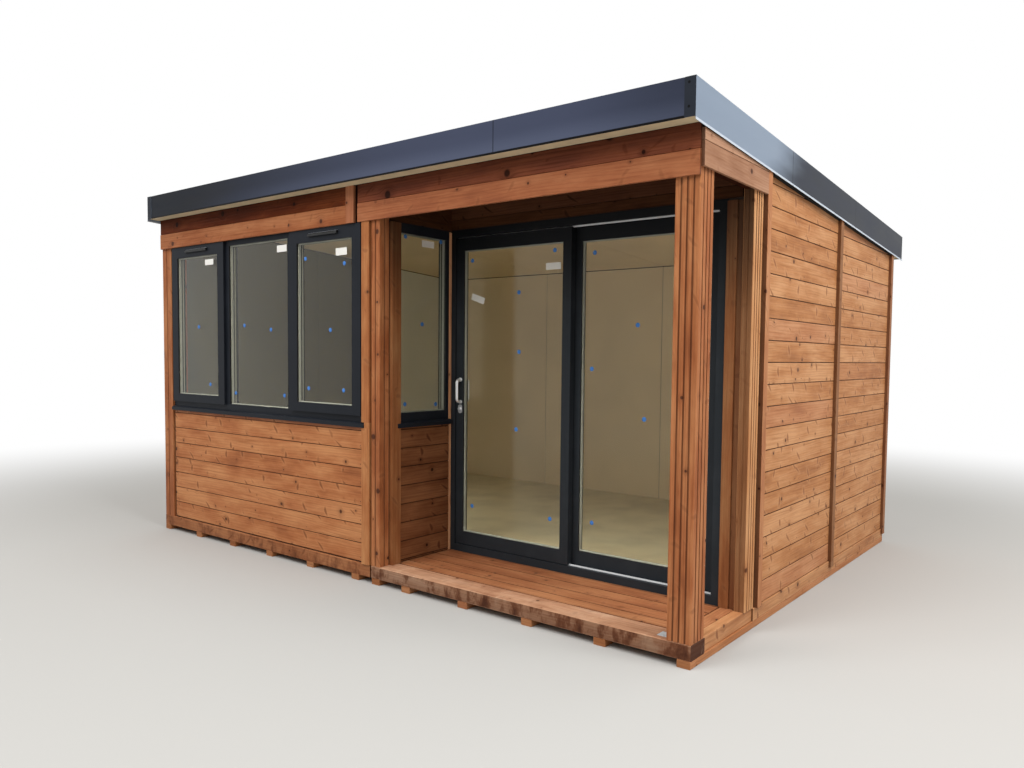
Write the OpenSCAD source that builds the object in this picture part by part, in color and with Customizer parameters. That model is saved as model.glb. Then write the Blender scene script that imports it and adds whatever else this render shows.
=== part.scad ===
// Garden office pod: a small timber garden room with a pent roof and a recessed porch.
// X runs along the front, Y from the front to the back and Z up.
// The origin is under the middle of the roof, at the underside of the bearers.

/* [Body] */
// Width over the outer faces of the corner posts
body_w = 4434; // [3900:2:5600]
// Depth from the front faces of the posts to the back cover battens
body_d = 3150; // [2600:10:4200]
// Height of the roof's front edge above the ground
roof_top = 2500; // [2250:5:2800]
// Depth of the porch from the post faces to the face of the door frame
porch_d = 593; // [450:1:900]

/* [Base] */
// Height of the bearers
bearer_h = 35; // [25:1:75]
// Width of one bearer
bearer_w = 66; // [45:1:100]
// Number of bearers at equal steps
bearer_count = 11; // [8:1:14]
// Height of the floor frame and of the sill beam
rim_h = 73; // [55:1:120]
// Depth of the sill beam under the porch posts
sill_d = 138; // [130:1:180]
// Thickness of the plinth boards
plinth_t = 22; // [15:1:30]
// Height of the side plinth boards
plinth_h = 66; // [40:1:70]
// Width of the rim beam along the porch's open side
side_rim_w = 62; // [50:1:90]
// Thickness of the deck boards
deck_t = 28; // [20:1:40]
// Width of one deck joist
joist_w = 45; // [30:1:60]
// Number of deck joists
joist_count = 6; // [3:1:8]
// Thickness of the room's floor lining
lining_floor_t = 12; // [8:1:25]

/* [Walls] */
// Depth of the cladding face behind the post faces
clad_in = 6; // [0:1:20]
// Thickness of the cladding boards on the frames
clad_t = 12; // [8:1:25]
// Thickness of a wall frame with its inner lining
wall_t = 80; // [60:1:140]
// Height of the roof's front edge above the door and window heads
head_drop = 379; // [330:1:420]
// Thickness of the flat trims and header boards in front of the posts
trim_t = 15; // [8:1:18]
// Width of one cover batten
batten_w = 50; // [35:1:70]
// Width of the flat trims beside the slim post
trim_w = 66; // [50:1:95]
// Height of one header board
header_h = 108; // [90:1:120]

/* [Posts] */
// Width of the front corner posts
post_w = 120; // [90:1:150]
// Depth of the front corner posts
post_d = 128; // [90:1:150]
// Side of the slim post at the porch's return wall
return_post_w = 73; // [60:1:95]
// Width of the post at the back of the porch
wall_post_w = 56; // [50:1:95]
// Depth of the post at the back of the porch
wall_post_d = 110; // [60:1:120]
// Radius of one flute
flute_r = 4.5; // [2:0.5:6]
// Pitch of the flutes at their closest
flute_pitch = 27; // [18:1:40]

/* [Roof] */
// Height of the metal edge trim
fascia_h = 164; // [120:1:220]
// Fall of the roof from front to back
roof_fall = 219; // [120:1:320]
// Overhang in front of the posts
front_over = 100; // [60:5:200]
// Overhang behind the body
back_over = 214; // [100:2:300]
// Overhang at each side
side_over = 18; // [18:1:60]
// Thickness of the metal of the edge trim
metal_t = 2; // [1:0.5:3]
// Width of the trim's flange on the roof, narrower than its lap
flange_w = 50; // [30:1:50]
// Reach of the drip edge of the side trims
drip_w = 5; // [2:1:12]
// Height of the drip edge of the side trims
drip_h = 15; // [6:1:25]
// Width of the trim's lap round a corner
lap_w = 52; // [51:1:90]
// Thickness of the soffit boards
soffit_t = 9; // [6:1:18]

/* [Front window] */
// Left edge of the frame from the left of the body
window_x = 131; // [120:1:300]
// Width of the frame
window_w = 2150; // [1800:1:2450]
// Gap between the frame and the flat trim beside it
window_gap = 3; // [3:1:30]
// Bottom of the frame above the ground
window_z = 951; // [700:1:1200]
// Face width of the outer frame
window_face = 40; // [30:1:60]
// Width of the two mullions
mullion_w = 85; // [50:1:100]
// Width of one opening casement
casement_w = 698; // [450:1:720]
// Face width of a casement's bars
casement_face = 78; // [60:1:90]
// Height of a casement's bottom bar
casement_rail = 56; // [45:1:90]
// Height of a casement's foot above the frame's foot
casement_foot = 37; // [10:1:60]
// Depth of every window frame
window_d = 70; // [60:1:80]
// Thickness of a casement's lap on the frame
casement_lap = 18; // [8:1:20]
// Thickness of the sealed glass units
glass_t = 24; // [14:1:28]
// Height of a cill's front edge
cill_h = 31; // [14:1:45]
// Reach of the cill in front of the cladding
cill_out = 18; // [17:1:60]
// Length of one trickle vent
vent_l = 280; // [180:5:400]

/* [Side window] */
// Reach of the cill in front of the cladding
side_cill_out = 20; // [17:1:60]
// Front edge of the frame behind the post faces
side_window_y = 122; // [80:1:140]
// Back edge of the frame in front of the door frame
side_window_gap = 25; // [20:1:60]
// Bottom of the frame above the ground
side_window_z = 950; // [700:1:1200]
// Height of the frame's top and bottom bars
side_window_face = 55; // [40:1:70]
// Width of the frame's uprights
side_window_stile = 22; // [18:1:45]

/* [Patio door] */
// Width of the wall between the frame and the post at the back of the porch
door_side_w = 85; // [75:1:150]
// Face width of the frame
door_face = 45; // [35:1:60]
// Depth of the frame
door_d = 100; // [96:1:120]
// Difference of the panels' widths: the fixed panel reaches into the frame
panel_step = 35; // [0:1:60]
// Width of a panel's upright bars
stile_w = 58; // [45:1:70]
// Height of a panel's rails
rail_h = 79; // [60:1:100]
// Thickness of a door panel
panel_t = 40; // [32:1:42]
// Lap of the two panels at the meeting stiles
meeting_lap = 19; // [10:1:40]
// Height of a track rib
track_h = 8; // [6:1:9]
// Width of a track rib
track_w = 6; // [4:1:8]
// Height of a pull handle
handle_h = 156; // [110:1:220]
// Reach of a pull handle
handle_out = 42; // [30:1:48]
// Diameter of a pull handle's bar
handle_bar = 16; // [10:1:18]
// Height of the middle of the pull handles above the ground
handle_z = 1130; // [950:5:1250]

/* [Hidden] */
$fn = 48;

// Clearances: round a moving panel, beside a track rib, and between a panel and the rib that carries it
run_gap = 5;
track_gap = 3;
seat_gap = 0.3;
// Cut-outs run this far past the faces they cut
past = 1;
// Parts cut to the fall of the roof stop this far short of each other
join_gap = 0.1;

// Roof: its depth, and the heights of its edges over a place on Y
roof_d = front_over + body_d + back_over;
roof_slope = roof_fall / roof_d;
roof_angle = atan(roof_slope);
function trim_z(y) = roof_top - (y + front_over) * roof_slope;
function eave_z(y) = trim_z(y) - fascia_h;
// The soffit stands a little above the trim's lower edge, and the roof panel lies on it
soffit_up = 5;
function soffit_z(y) = eave_z(y) + soffit_up;
function under_z(y) = soffit_z(y) + soffit_t;
// Side cladding and header boards stop this far below the trim
board_stop = 32;

// Length of the front and back trims between the laps of the side trims
trim_l = body_w + 2 * side_over - 2 * lap_w;

// Middle of the roof, which lies over the origin
mid_x = body_w / 2;
mid_y = (body_d + back_over - front_over) / 2;

// Heads of the window and the door
head_z = roof_top - head_drop;

// The porch begins at the slim post, one trim away from the window
post_gap = 11;
porch_x = window_x + window_w + window_gap + trim_w + post_gap;

// Floor levels
deck_z = bearer_h + rim_h;
floor_z = deck_z + lining_floor_t;
plinth_top = bearer_h + plinth_h;
// The rim beam at the porch's open side carries the post at its back
side_rim_x = body_w - side_rim_w;
side_rim_top = deck_z - 3;

// Frames stand behind the cladding; each value is the outer face of a frame
frame_in = clad_in + clad_t;
right_x = body_w - frame_in;
back_y = body_d - frame_in;
return_x = porch_x + return_post_w + clad_in - clad_t;
door_y = porch_d + past * 2;
door_wall_y = porch_d + wall_t - past;
corner_y = porch_d - 16;
corner_end = corner_y + wall_post_d;
stile_y = corner_end + 23;

// Door and its two panels
door_x = return_x;
door_w = body_w - wall_post_w - door_side_w - door_x;
door_head = head_z + 12;
door_h = door_head - deck_z;
door_frame_y = porch_d - 3;
slider_y = door_frame_y + 7;
fixed_y = slider_y + panel_t + 8;
slider_w = (door_w - 2 * door_face - run_gap + meeting_lap - panel_step) / 2;
slider_x = door_x + door_face + run_gap;
slider_z = deck_z + door_face + run_gap;
slider_h = door_h - 2 * door_face - 2 * run_gap;
fixed_x = slider_x + slider_w - meeting_lap;
fixed_w = door_x + door_w - door_face - fixed_x;
fixed_z = deck_z + door_face;
fixed_h = door_h - 2 * door_face;
track_y = slider_y + panel_t / 2;
handle_x = slider_x + stile_w / 2 + 6;

// Front window: casements lie a little inside the frame's outer edge
window_y = clad_in + 8;
window_top = head_z + 9;
window_h = window_top - window_z;
casement_in = 10;
light_foot = 43;
casement_z = window_z + casement_foot;
casement_h = window_top - casement_in - casement_z;
// The glass lies this far behind the faces round it, and the front cill runs this far past the frame
rebate = 9;
horn = 26;
side_window_w = porch_d - side_window_gap - side_window_y;
side_window_h = head_z + 5 - side_window_z;
side_window_x = return_x + clad_t - 4;
// The trim behind the slim post ends here, and the side cill is let into it and into the corner strip
side_trim_end = return_post_w + 75;
side_cill_y = side_trim_end - 26;
side_cill_end = side_window_y + side_window_w + 10;

in_pod = [-mid_x, -mid_y, 0];

// A block between two opposite corners
module block(low, high) {
    translate(low) cube(high - low);
}

// A wall frame whose top follows the roof's underside
module under_roof(x0, x1, y0, y1, z0) {
    translate([x0, 0, 0]) rotate([90, 0, 90]) linear_extrude(x1 - x0)
        polygon([[y0, z0], [y1, z0], [y1, under_z(y1) - join_gap], [y0, under_z(y0) - join_gap]]);
}

// A side board whose top is cut parallel to the roof, a little below its trim
module below_trim(x0, x1, y0, y1, z0) {
    translate([x0, 0, 0]) rotate([90, 0, 90]) linear_extrude(x1 - x0)
        polygon([[y0, z0], [y1, z0], [y1, max(z0, eave_z(y1) - board_stop)], [y0, eave_z(y0) - board_stop]]);
}

// Outline of a post with round flutes along its four faces
module fluted_outline(w, d) {
    across = max(2, floor(w / flute_pitch));
    along = max(2, floor(d / flute_pitch));
    difference() {
        square([w, d]);
        for (i = [1 : across - 1], y = [0, d]) translate([w * i / across, y]) circle(flute_r);
        for (j = [1 : along - 1], x = [0, w]) translate([x, d * j / along]) circle(flute_r);
    }
}

// A fluted post whose top follows the roof's underside
module fluted_post(x, y, w, d, z0) {
    intersection() {
        translate([x, y, z0]) linear_extrude(roof_top - z0) fluted_outline(w, d);
        under_roof(x - past, x + w + past, y - past, y + d + past, z0);
    }
}

// An upright rectangular ring of bars in the XZ plane
module ring_xz(x, y, z, w, depth, h, side, top, bottom) {
    difference() {
        block([x, y, z], [x + w, y + depth, z + h]);
        block([x + side, y - past, z + bottom], [x + w - side, y + depth + past, z + h - top]);
    }
}

module bearers() {
    step = (body_w - bearer_w) / (bearer_count - 1);
    color("peru") translate(in_pod) {
        for (i = [0 : bearer_count - 1]) translate([i * step, 0, 0]) cube([bearer_w, body_d, bearer_h]);
        // The base is made in two parts, so one more bearer lies under their joint
        translate([porch_x + (return_post_w - bearer_w) / 2 + 3, 0, 0]) cube([bearer_w, body_d, bearer_h]);
    }
}

module floor_frame() {
    color("burlywood") translate(in_pod) {
        block([plinth_t, corner_end, bearer_h], [body_w - plinth_t, body_d - plinth_t, deck_z]);
        block([plinth_t, door_y, bearer_h], [side_rim_x, corner_end, deck_z]);
        block([plinth_t, plinth_t, bearer_h], [porch_x, door_y, deck_z]);
    }
}

module front_sill() {
    color("chocolate") translate(in_pod) block([porch_x, 0, bearer_h], [body_w, sill_d, deck_z]);
}

module plinth_boards() {
    color("peru") translate(in_pod) {
        block([0, 0, bearer_h], [porch_x - post_gap, plinth_t, deck_z]);
        block([0, plinth_t, bearer_h], [plinth_t, body_d, plinth_top]);
        block([body_w - plinth_t, corner_end, bearer_h], [body_w, body_d, plinth_top]);
        block([side_rim_x, sill_d, bearer_h], [body_w - 8, corner_end - 2, side_rim_top]);
        block([plinth_t, body_d - plinth_t, bearer_h], [body_w - plinth_t, body_d, plinth_top]);
    }
}

module room_floor() {
    color("gainsboro") translate(in_pod) {
        block([frame_in + wall_t, door_frame_y + door_d, deck_z],
              [right_x - wall_t, back_y - wall_t, floor_z]);
        block([frame_in + wall_t, post_d, deck_z], [porch_x, door_frame_y + door_d, floor_z]);
        block([post_w, frame_in + wall_t, deck_z], [porch_x, post_d, floor_z]);
    }
}

module deck_joists() {
    first = porch_x;
    step = (side_rim_x - joist_w - first) / (joist_count - 1);
    color("peru") translate(in_pod) for (i = [0 : joist_count - 1])
        translate([first + i * step, sill_d, bearer_h]) cube([joist_w, door_y - sill_d, rim_h - deck_t]);
}

module porch_deck() {
    color("sandybrown") translate(in_pod)
        block([porch_x, sill_d, deck_z - deck_t], [side_rim_x, door_y, deck_z]);
}

module front_wall() {
    color("sienna") translate(in_pod) difference() {
        under_roof(post_w, porch_x, frame_in, frame_in + wall_t, deck_z);
        block([window_x, frame_in - past, window_z - cill_h],
              [window_x + window_w, frame_in + wall_t + past, window_top]);
    }
}

module left_wall() {
    color("sienna") translate(in_pod) under_roof(frame_in, frame_in + wall_t, post_d, back_y, deck_z);
}

module right_wall() {
    color("sienna") translate(in_pod)
        under_roof(right_x - wall_t, right_x, corner_end, back_y, deck_z);
}

module back_wall() {
    color("sienna") translate(in_pod)
        under_roof(frame_in + wall_t, right_x - wall_t, back_y - wall_t, back_y, deck_z);
}

module return_wall() {
    color("sienna") translate(in_pod) difference() {
        under_roof(porch_x, return_x, return_post_w, door_wall_y, deck_z);
        block([porch_x - past, side_window_y, side_window_z - cill_h],
              [return_x + past, side_window_y + side_window_w, side_window_z + side_window_h]);
    }
}

module door_header() {
    color("sienna") translate(in_pod)
        under_roof(return_x, body_w - wall_post_w, door_y, door_wall_y, door_head);
}

module door_side_wall() {
    color("sienna") translate(in_pod)
        block([door_x + door_w, door_y, deck_z], [body_w - wall_post_w, door_wall_y, door_head]);
}

module corner_posts() {
    color("chocolate") translate(in_pod)
        for (x = [0, body_w - post_w]) fluted_post(x, 0, post_w, post_d, deck_z);
}

module return_post() {
    color("chocolate") translate(in_pod) fluted_post(porch_x, 0, return_post_w, return_post_w, deck_z);
}

module wall_post() {
    color("chocolate") translate(in_pod)
        fluted_post(body_w - wall_post_w, corner_y, wall_post_w, wall_post_d, side_rim_top);
}

// One cover batten on the right wall, with its foot lapping over the plinth board
module side_batten(y, lap) {
    under_roof(right_x, body_w + trim_t, y, y + batten_w, plinth_top);
    if (lap > 0) block([body_w, y, plinth_top - lap], [body_w + trim_t, y + batten_w, plinth_top]);
}

module side_battens() {
    mid_batten = (stile_y + body_d - batten_w) / 2 - 22;
    color("peru") translate(in_pod) for (y = [stile_y, mid_batten, body_d - batten_w]) {
        lap = y == stile_y ? 0 : 36;
        side_batten(y, lap);
        translate([body_w, 0, 0]) mirror([1, 0, 0]) side_batten(y, lap);
    }
}

module back_battens() {
    panels = 3;
    run = right_x - frame_in - batten_w;
    color("peru") translate(in_pod) for (i = [0 : panels]) {
        x = frame_in + run * i / panels;
        under_roof(x, x + batten_w, back_y, body_d + trim_t, plinth_top);
    }
}

module corner_trims() {
    front_trim_x = porch_x - post_gap - trim_w;
    back_strip_y = side_window_y + side_window_w;
    color("peru") translate(in_pod) {
        // Front trim between the window and the return post, notched for the cill
        difference() {
            block([front_trim_x, clad_in - trim_t, deck_z], [porch_x - post_gap, frame_in, head_z]);
            block([front_trim_x - past, -trim_t, window_z - cill_h - past],
                  [window_x + window_w + horn + past, frame_in + past, window_z + past]);
        }
        // Trim on the return wall behind the slim post, and the strip beside the door frame
        difference() {
            union() {
                block([return_x, return_post_w + 5, deck_z],
                      [return_x + clad_t + trim_t, side_trim_end, head_z]);
                block([return_x, back_strip_y, deck_z], [return_x + clad_t, door_frame_y - 1, head_z]);
            }
            block([return_x - past, side_cill_y - past, side_window_z - cill_h - past],
                  [return_x + clad_t + trim_t + past, side_cill_end + past, side_window_z + past]);
        }
        // Trim between the door frame and the wall post, with a dark joint beside the post
        block([door_x + door_w, corner_y + 2, deck_z], [body_w - wall_post_w - 33, door_y, head_z]);
    }
}

module front_header() {
    gap_x = porch_x - 135;
    stile_face = 72;
    top = soffit_z(-trim_t);
    color("sienna") translate(in_pod) {
        // Left block: two boards packed out to the wall, with an upright at their end
        block([0, -trim_t, head_z], [gap_x, 0, head_z + header_h]);
        block([0, 3 - trim_t, head_z + header_h], [gap_x, 0, top]);
        block([post_w, 0, window_top], [gap_x, frame_in, top]);
        block([gap_x - stile_face, -trim_t - 3, head_z], [gap_x, -trim_t, top]);
        // Porch: two boards across the posts
        block([gap_x + 31, -trim_t, head_z], [body_w, 0, head_z + header_h]);
        block([gap_x + 31, 3 - trim_t, head_z + header_h], [body_w, 0, top]);
    }
}

module side_header() {
    lower = head_z + 36;
    color("sienna") translate(in_pod) below_trim(body_w, body_w + trim_t, 0, stile_y, lower);
}

module porch_front_beam() {
    color("sienna") translate(in_pod)
        under_roof(porch_x + return_post_w, body_w - post_w, 0, joist_w, head_z + 12);
}

module porch_side_beam() {
    color("sienna") translate(in_pod)
        under_roof(body_w - joist_w, body_w, post_d, corner_y, head_z + 44);
}

// The roof panel, with the roof's fall on both faces
module roof_panel() {
    y0 = 2 * metal_t - front_over;
    y1 = body_d + back_over - 2 * metal_t;
    low = metal_t + join_gap;
    color("dimgray") translate(in_pod) translate([metal_t - side_over, 0, 0]) rotate([90, 0, 90])
        linear_extrude(body_w + 2 * side_over - 2 * metal_t)
        polygon([[y0, under_z(y0)], [y1, under_z(y1)], [y1, trim_z(y1) - low], [y0, trim_z(y0) - low]]);
}

// A soffit board under the roof panel between two places on Y
module soffit(x0, x1, y0, y1) {
    translate([x0, 0, 0]) rotate([90, 0, 90]) linear_extrude(x1 - x0)
        polygon([[y0, soffit_z(y0)], [y1, soffit_z(y1)],
                 [y1, under_z(y1) - join_gap], [y0, under_z(y0) - join_gap]]);
}

module soffit_boards() {
    x0 = metal_t - side_over;
    x1 = body_w + side_over - metal_t;
    color("tan") translate(in_pod) {
        soffit(x0, x1, 2 * metal_t - front_over, -trim_t - past);
        soffit(x0, x1, body_d + trim_t, body_d + back_over - 2 * metal_t);
        // The porch ceiling, cut out round the two front posts
        difference() {
            soffit(return_x + join_gap, body_w - joist_w - past, joist_w + past, door_y - past);
            block([0, 0, 0], [porch_x + return_post_w + past, return_post_w + past, roof_top]);
            block([body_w - post_w - past, 0, 0], [body_w, post_d + past, roof_top]);
            block([body_w - wall_post_w - past, corner_y - past, 0], [body_w, door_y, roof_top]);
        }
    }
}

// Folded edge trim seen from its end: flange on the roof, upright face and, where down > 0, a drip edge
module trim_profile(face_h, fall, out, down) {
    t = metal_t;
    drip = down > 0 ? [[t - out, -down], [-out, -down]] : [];
    polygon(concat([[0, 0], [0, face_h], [flange_w, face_h + fall * flange_w],
                    [flange_w, face_h - t + fall * flange_w], [t, face_h - t + fall * t], [t, 0]], drip));
}

module front_fascia() {
    y = metal_t - front_over;
    color("darkslategray") translate(in_pod) translate([lap_w - side_over, y, eave_z(y)])
        rotate([90, 0, 90]) linear_extrude(trim_l) trim_profile(fascia_h, -roof_slope, 0, 0);
}

module back_fascia() {
    y = body_d + back_over - metal_t;
    color("darkslategray") translate(in_pod) translate([body_w + side_over - lap_w, y, eave_z(y)])
        rotate([90, 0, -90]) linear_extrude(trim_l) trim_profile(fascia_h, roof_slope, 0, 0);
}

// The trim along the left verge, cut plumb at both ends, with its laps round the corners
module verge_trim() {
    y0 = -front_over;
    y1 = body_d + back_over;
    over = 40;
    intersection() {
        translate([-side_over, y0, eave_z(y0)]) rotate([-roof_angle, 0, 0]) translate([0, roof_d + over, 0])
            rotate([90, 0, 0]) linear_extrude(roof_d + 2 * over)
            trim_profile(fascia_h * cos(roof_angle), 0, drip_w, drip_h);
        block([-side_over - drip_w - past, y0, 0], [lap_w + flange_w, y1, roof_top + past]);
    }
    for (y = [y0, y1 - metal_t])
        block([metal_t / 2 - side_over, y, eave_z(y)],
              [lap_w - side_over, y + metal_t, trim_z(y) - metal_t / 2]);
}

module side_fascias() {
    color("darkslategray") translate(in_pod) {
        verge_trim();
        translate([body_w, 0, 0]) mirror([1, 0, 0]) verge_trim();
    }
}

module front_window_frame() {
    back = window_y + window_d + past;
    head = window_top - window_face;
    inside = window_face - casement_in;
    color("darkslategray") translate(in_pod) difference() {
        block([window_x, window_y, window_z], [window_x + window_w, window_y + window_d, window_top]);
        for (x = [window_x + casement_in, window_x + window_w - casement_w])
            block([x + inside, window_y - past, casement_z + inside],
                  [x + casement_w - casement_in - inside, back, head]);
        block([window_x + casement_w + mullion_w / 2, window_y - past, window_z + light_foot],
              [window_x + window_w - casement_w - mullion_w / 2, back, head]);
    }
}

// An opening casement: a lapping face ring in front of the frame and a slimmer ring inside it
module casement(x) {
    inner = window_face - casement_in + 3;
    w = casement_w - casement_in;
    ring_xz(x, window_y - casement_lap, casement_z, w, casement_lap, casement_h,
            casement_face, casement_face, casement_rail);
    ring_xz(x + inner, window_y, casement_z + inner, w - 2 * inner, 42, casement_h - 2 * inner,
            casement_face - inner, casement_face - inner, casement_rail - inner);
}

module casements() {
    color("darkslategray") translate(in_pod) {
        casement(window_x + casement_in);
        casement(window_x + window_w - casement_w);
    }
}

module front_window_glass() {
    sash_y = window_y - casement_lap + rebate;
    light_y = window_y + rebate;
    color("lightblue", 0.4) translate(in_pod) {
        for (x = [window_x + casement_in, window_x + window_w - casement_w])
            block([x + casement_face, sash_y, casement_z + casement_rail],
                  [x + casement_w - casement_in - casement_face, sash_y + glass_t,
                   casement_z + casement_h - casement_face]);
        block([window_x + casement_w + mullion_w / 2, light_y, window_z + light_foot],
              [window_x + window_w - casement_w - mullion_w / 2, light_y + glass_t,
               window_top - window_face]);
    }
}

module trickle_vents() {
    vent_z = casement_z + casement_h - casement_face / 2 - 8;
    y = window_y - casement_lap;
    color("black") translate(in_pod)
        for (x = [window_x + casement_in, window_x + window_w - casement_w])
            translate([x + (casement_w - casement_in - vent_l) / 2, y, vent_z]) rotate([90, 0, 90])
                linear_extrude(vent_l) polygon([[0, 0], [0, 22], [-8, 20], [-14, 10], [-14, 2]]);
}

// Outline of a cill from its back edge: a top that slopes over its reach, and a blunt nose
module cill_profile(depth, reach) {
    polygon([[0, 0], [-depth, 0], [-depth, cill_h - 8], [-depth + 5, cill_h - 5], [-depth + reach, cill_h],
             [0, cill_h]]);
}

module window_cills() {
    front_depth = window_d + window_y - clad_in + cill_out;
    side_back = side_window_x - window_d + 4;
    side_depth = return_x + clad_t + side_cill_out - side_back;
    color("darkslategray") translate(in_pod) {
        // Its horn is let into the trim at the porch end
        difference() {
            translate([window_x, window_y + window_d, window_z - cill_h]) rotate([90, 0, 90])
                linear_extrude(window_w + horn) cill_profile(front_depth, cill_out);
            block([window_x + window_w, clad_in, window_z - cill_h - past],
                  [window_x + window_w + horn + past, window_y + window_d + past, window_z + past]);
        }
        difference() {
            translate([side_back, side_cill_end, side_window_z - cill_h])
                rotate([90, 0, 0]) linear_extrude(side_cill_end - side_cill_y) mirror([1, 0])
                    cill_profile(side_depth, side_cill_out);
            for (y = [[0, side_window_y], [side_window_y + side_window_w, porch_d]])
                block([side_back - past, y[0], side_window_z - cill_h - past],
                      [return_x + past, y[1], side_window_z + past]);
        }
    }
}

module side_window_frame() {
    x0 = side_window_x - window_d;
    color("darkslategray") translate(in_pod) difference() {
        block([x0, side_window_y, side_window_z],
              [side_window_x, side_window_y + side_window_w, side_window_z + side_window_h]);
        block([x0 - past, side_window_y + side_window_stile, side_window_z + side_window_face],
              [side_window_x + past, side_window_y + side_window_w - side_window_stile,
               side_window_z + side_window_h - side_window_face]);
        // The trim behind the slim post laps over the frame's front upright
        block([return_x, 0, 0], [side_window_x + past, side_trim_end, roof_top]);
    }
}

module side_window_glass() {
    x1 = side_window_x - 14;
    color("lightblue", 0.4) translate(in_pod)
        block([x1 - glass_t, side_window_y + side_window_stile, side_window_z + side_window_face],
              [x1, side_window_y + side_window_w - side_window_stile,
               side_window_z + side_window_h - side_window_face]);
}

module door_frame() {
    color("darkslategray") translate(in_pod)
        ring_xz(door_x, door_frame_y, deck_z, door_w, door_d, door_h, door_face, door_face, door_face);
}

module door_tracks() {
    x0 = door_x + door_face;
    x1 = door_x + door_w - door_face;
    low = deck_z + door_face;
    high = door_head - door_face;
    color("silver") translate(in_pod) {
        block([x0, track_y - track_w / 2, low], [x1, track_y + track_w / 2, low + track_h]);
        block([x0, track_y - track_w / 2, high - track_h], [x1, track_y + track_w / 2, high]);
    }
}

module fixed_panel() {
    color("darkslategray") translate(in_pod)
        ring_xz(fixed_x, fixed_y, fixed_z, fixed_w, panel_t, fixed_h,
                stile_w, rail_h + run_gap, rail_h + run_gap);
}

// Glass unit that fills a panel's opening
module panel_glass(x, y, z, w, h, rail) {
    glass_in = (panel_t - glass_t) / 2;
    block([x + stile_w, y + glass_in, z + rail], [x + w - stile_w, y + glass_in + glass_t, z + h - rail]);
}

module fixed_panel_glass() {
    color("lightblue", 0.4) translate(in_pod)
        panel_glass(fixed_x, fixed_y, fixed_z, fixed_w, fixed_h, rail_h + run_gap);
}

module sliding_panel() {
    groove = track_w / 2 + track_gap;
    low = deck_z + door_face + track_h + seat_gap;
    high = door_head - door_face - track_h - 2;
    color("darkslategray") translate(in_pod) difference() {
        ring_xz(slider_x, slider_y, slider_z, slider_w, panel_t, slider_h, stile_w, rail_h, rail_h);
        block([slider_x - past, track_y - groove, slider_z - past],
              [slider_x + slider_w + past, track_y + groove, low]);
        block([slider_x - past, track_y - groove, high],
              [slider_x + slider_w + past, track_y + groove, slider_z + slider_h + past]);
    }
}

module sliding_panel_glass() {
    color("lightblue", 0.4) translate(in_pod)
        panel_glass(slider_x, slider_y, slider_z, slider_w, slider_h, rail_h);
}

// A round-cornered D handle that stands out along -Y from the origin, centred on Z
module pull_handle() {
    r = handle_bar / 2;
    bend = 20;
    arm = handle_out - bend - r;
    half = handle_h / 2 - r;
    for (s = [1, -1]) {
        translate([0, 0, s * half]) rotate([90, 0, 0]) cylinder(h = arm, r = r);
        translate([0, 0, s * half]) rotate([90, 0, 0]) cylinder(h = 4, r = r + 4);
        translate([0, -arm, s * (half - bend)]) rotate([s > 0 ? 0 : 180, 0, 0])
            mirror([0, s > 0 ? 0 : 1, 0]) rotate([90, 0, -90]) rotate_extrude(angle = 90)
                translate([bend, 0]) circle(r);
    }
    translate([0, -arm - bend, bend - half]) cylinder(h = 2 * (half - bend), r = r);
}

module pull_handles() {
    // The grip is wider than deep
    oval = 1.25;
    color("silver") translate(in_pod) {
        translate([handle_x, slider_y, handle_z]) scale([oval, 1, 1]) pull_handle();
        translate([handle_x, slider_y + panel_t, handle_z]) scale([oval, -1, 1]) pull_handle();
    }
}

module door_lock() {
    plate_h = 56;
    color("silver") translate(in_pod)
        translate([handle_x, slider_y, handle_z - handle_h / 2 - 8 - plate_h / 2]) rotate([90, 0, 0]) {
            linear_extrude(5) for (s = [1, -1]) {
                translate([0, s * (plate_h / 2 - 15)]) circle(15);
                translate([-15, 15 - plate_h / 2]) square([30, plate_h - 30]);
            }
            cylinder(h = 16, r = 9);
        }
}

bearers();
floor_frame();
front_sill();
plinth_boards();
room_floor();
deck_joists();
porch_deck();
front_wall();
left_wall();
back_wall();
right_wall();
return_wall();
door_header();
door_side_wall();
corner_posts();
return_post();
wall_post();
side_battens();
back_battens();
corner_trims();
front_header();
side_header();
porch_front_beam();
porch_side_beam();
roof_panel();
soffit_boards();
front_fascia();
back_fascia();
side_fascias();
front_window_frame();
casements();
front_window_glass();
trickle_vents();
window_cills();
side_window_frame();
side_window_glass();
door_frame();
door_tracks();
fixed_panel();
fixed_panel_glass();
sliding_panel();
sliding_panel_glass();
pull_handles();
door_lock();
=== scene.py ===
import logging
import math
from dataclasses import dataclass, field
from enum import Enum
from typing import Callable, Optional, Sequence

import bpy
import numpy as np
from mathutils import Matrix, Vector


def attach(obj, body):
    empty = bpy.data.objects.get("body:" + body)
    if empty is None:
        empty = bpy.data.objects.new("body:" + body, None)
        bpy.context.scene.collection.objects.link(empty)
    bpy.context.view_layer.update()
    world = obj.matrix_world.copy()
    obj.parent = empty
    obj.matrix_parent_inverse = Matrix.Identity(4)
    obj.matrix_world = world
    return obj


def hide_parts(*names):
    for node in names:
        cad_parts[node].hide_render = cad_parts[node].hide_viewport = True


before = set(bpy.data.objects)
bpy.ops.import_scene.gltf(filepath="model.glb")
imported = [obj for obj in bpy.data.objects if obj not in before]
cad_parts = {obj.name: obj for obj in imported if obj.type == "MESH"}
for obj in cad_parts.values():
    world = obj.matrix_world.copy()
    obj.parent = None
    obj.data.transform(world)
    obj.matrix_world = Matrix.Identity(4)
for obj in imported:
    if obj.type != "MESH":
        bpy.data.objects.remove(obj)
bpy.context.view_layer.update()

MM = 0.001
MIDDLE = np.array([2217.0, 1632.0, 0.0])
POD, DOOR = "pod", "sliding_door"
X, Y, Z = np.eye(3)
# A member's direction with its section's first and second axes
UP, ACROSS, BACK = (Z, X, Y), (X, Y, Z), (Y, X, Z)
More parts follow.
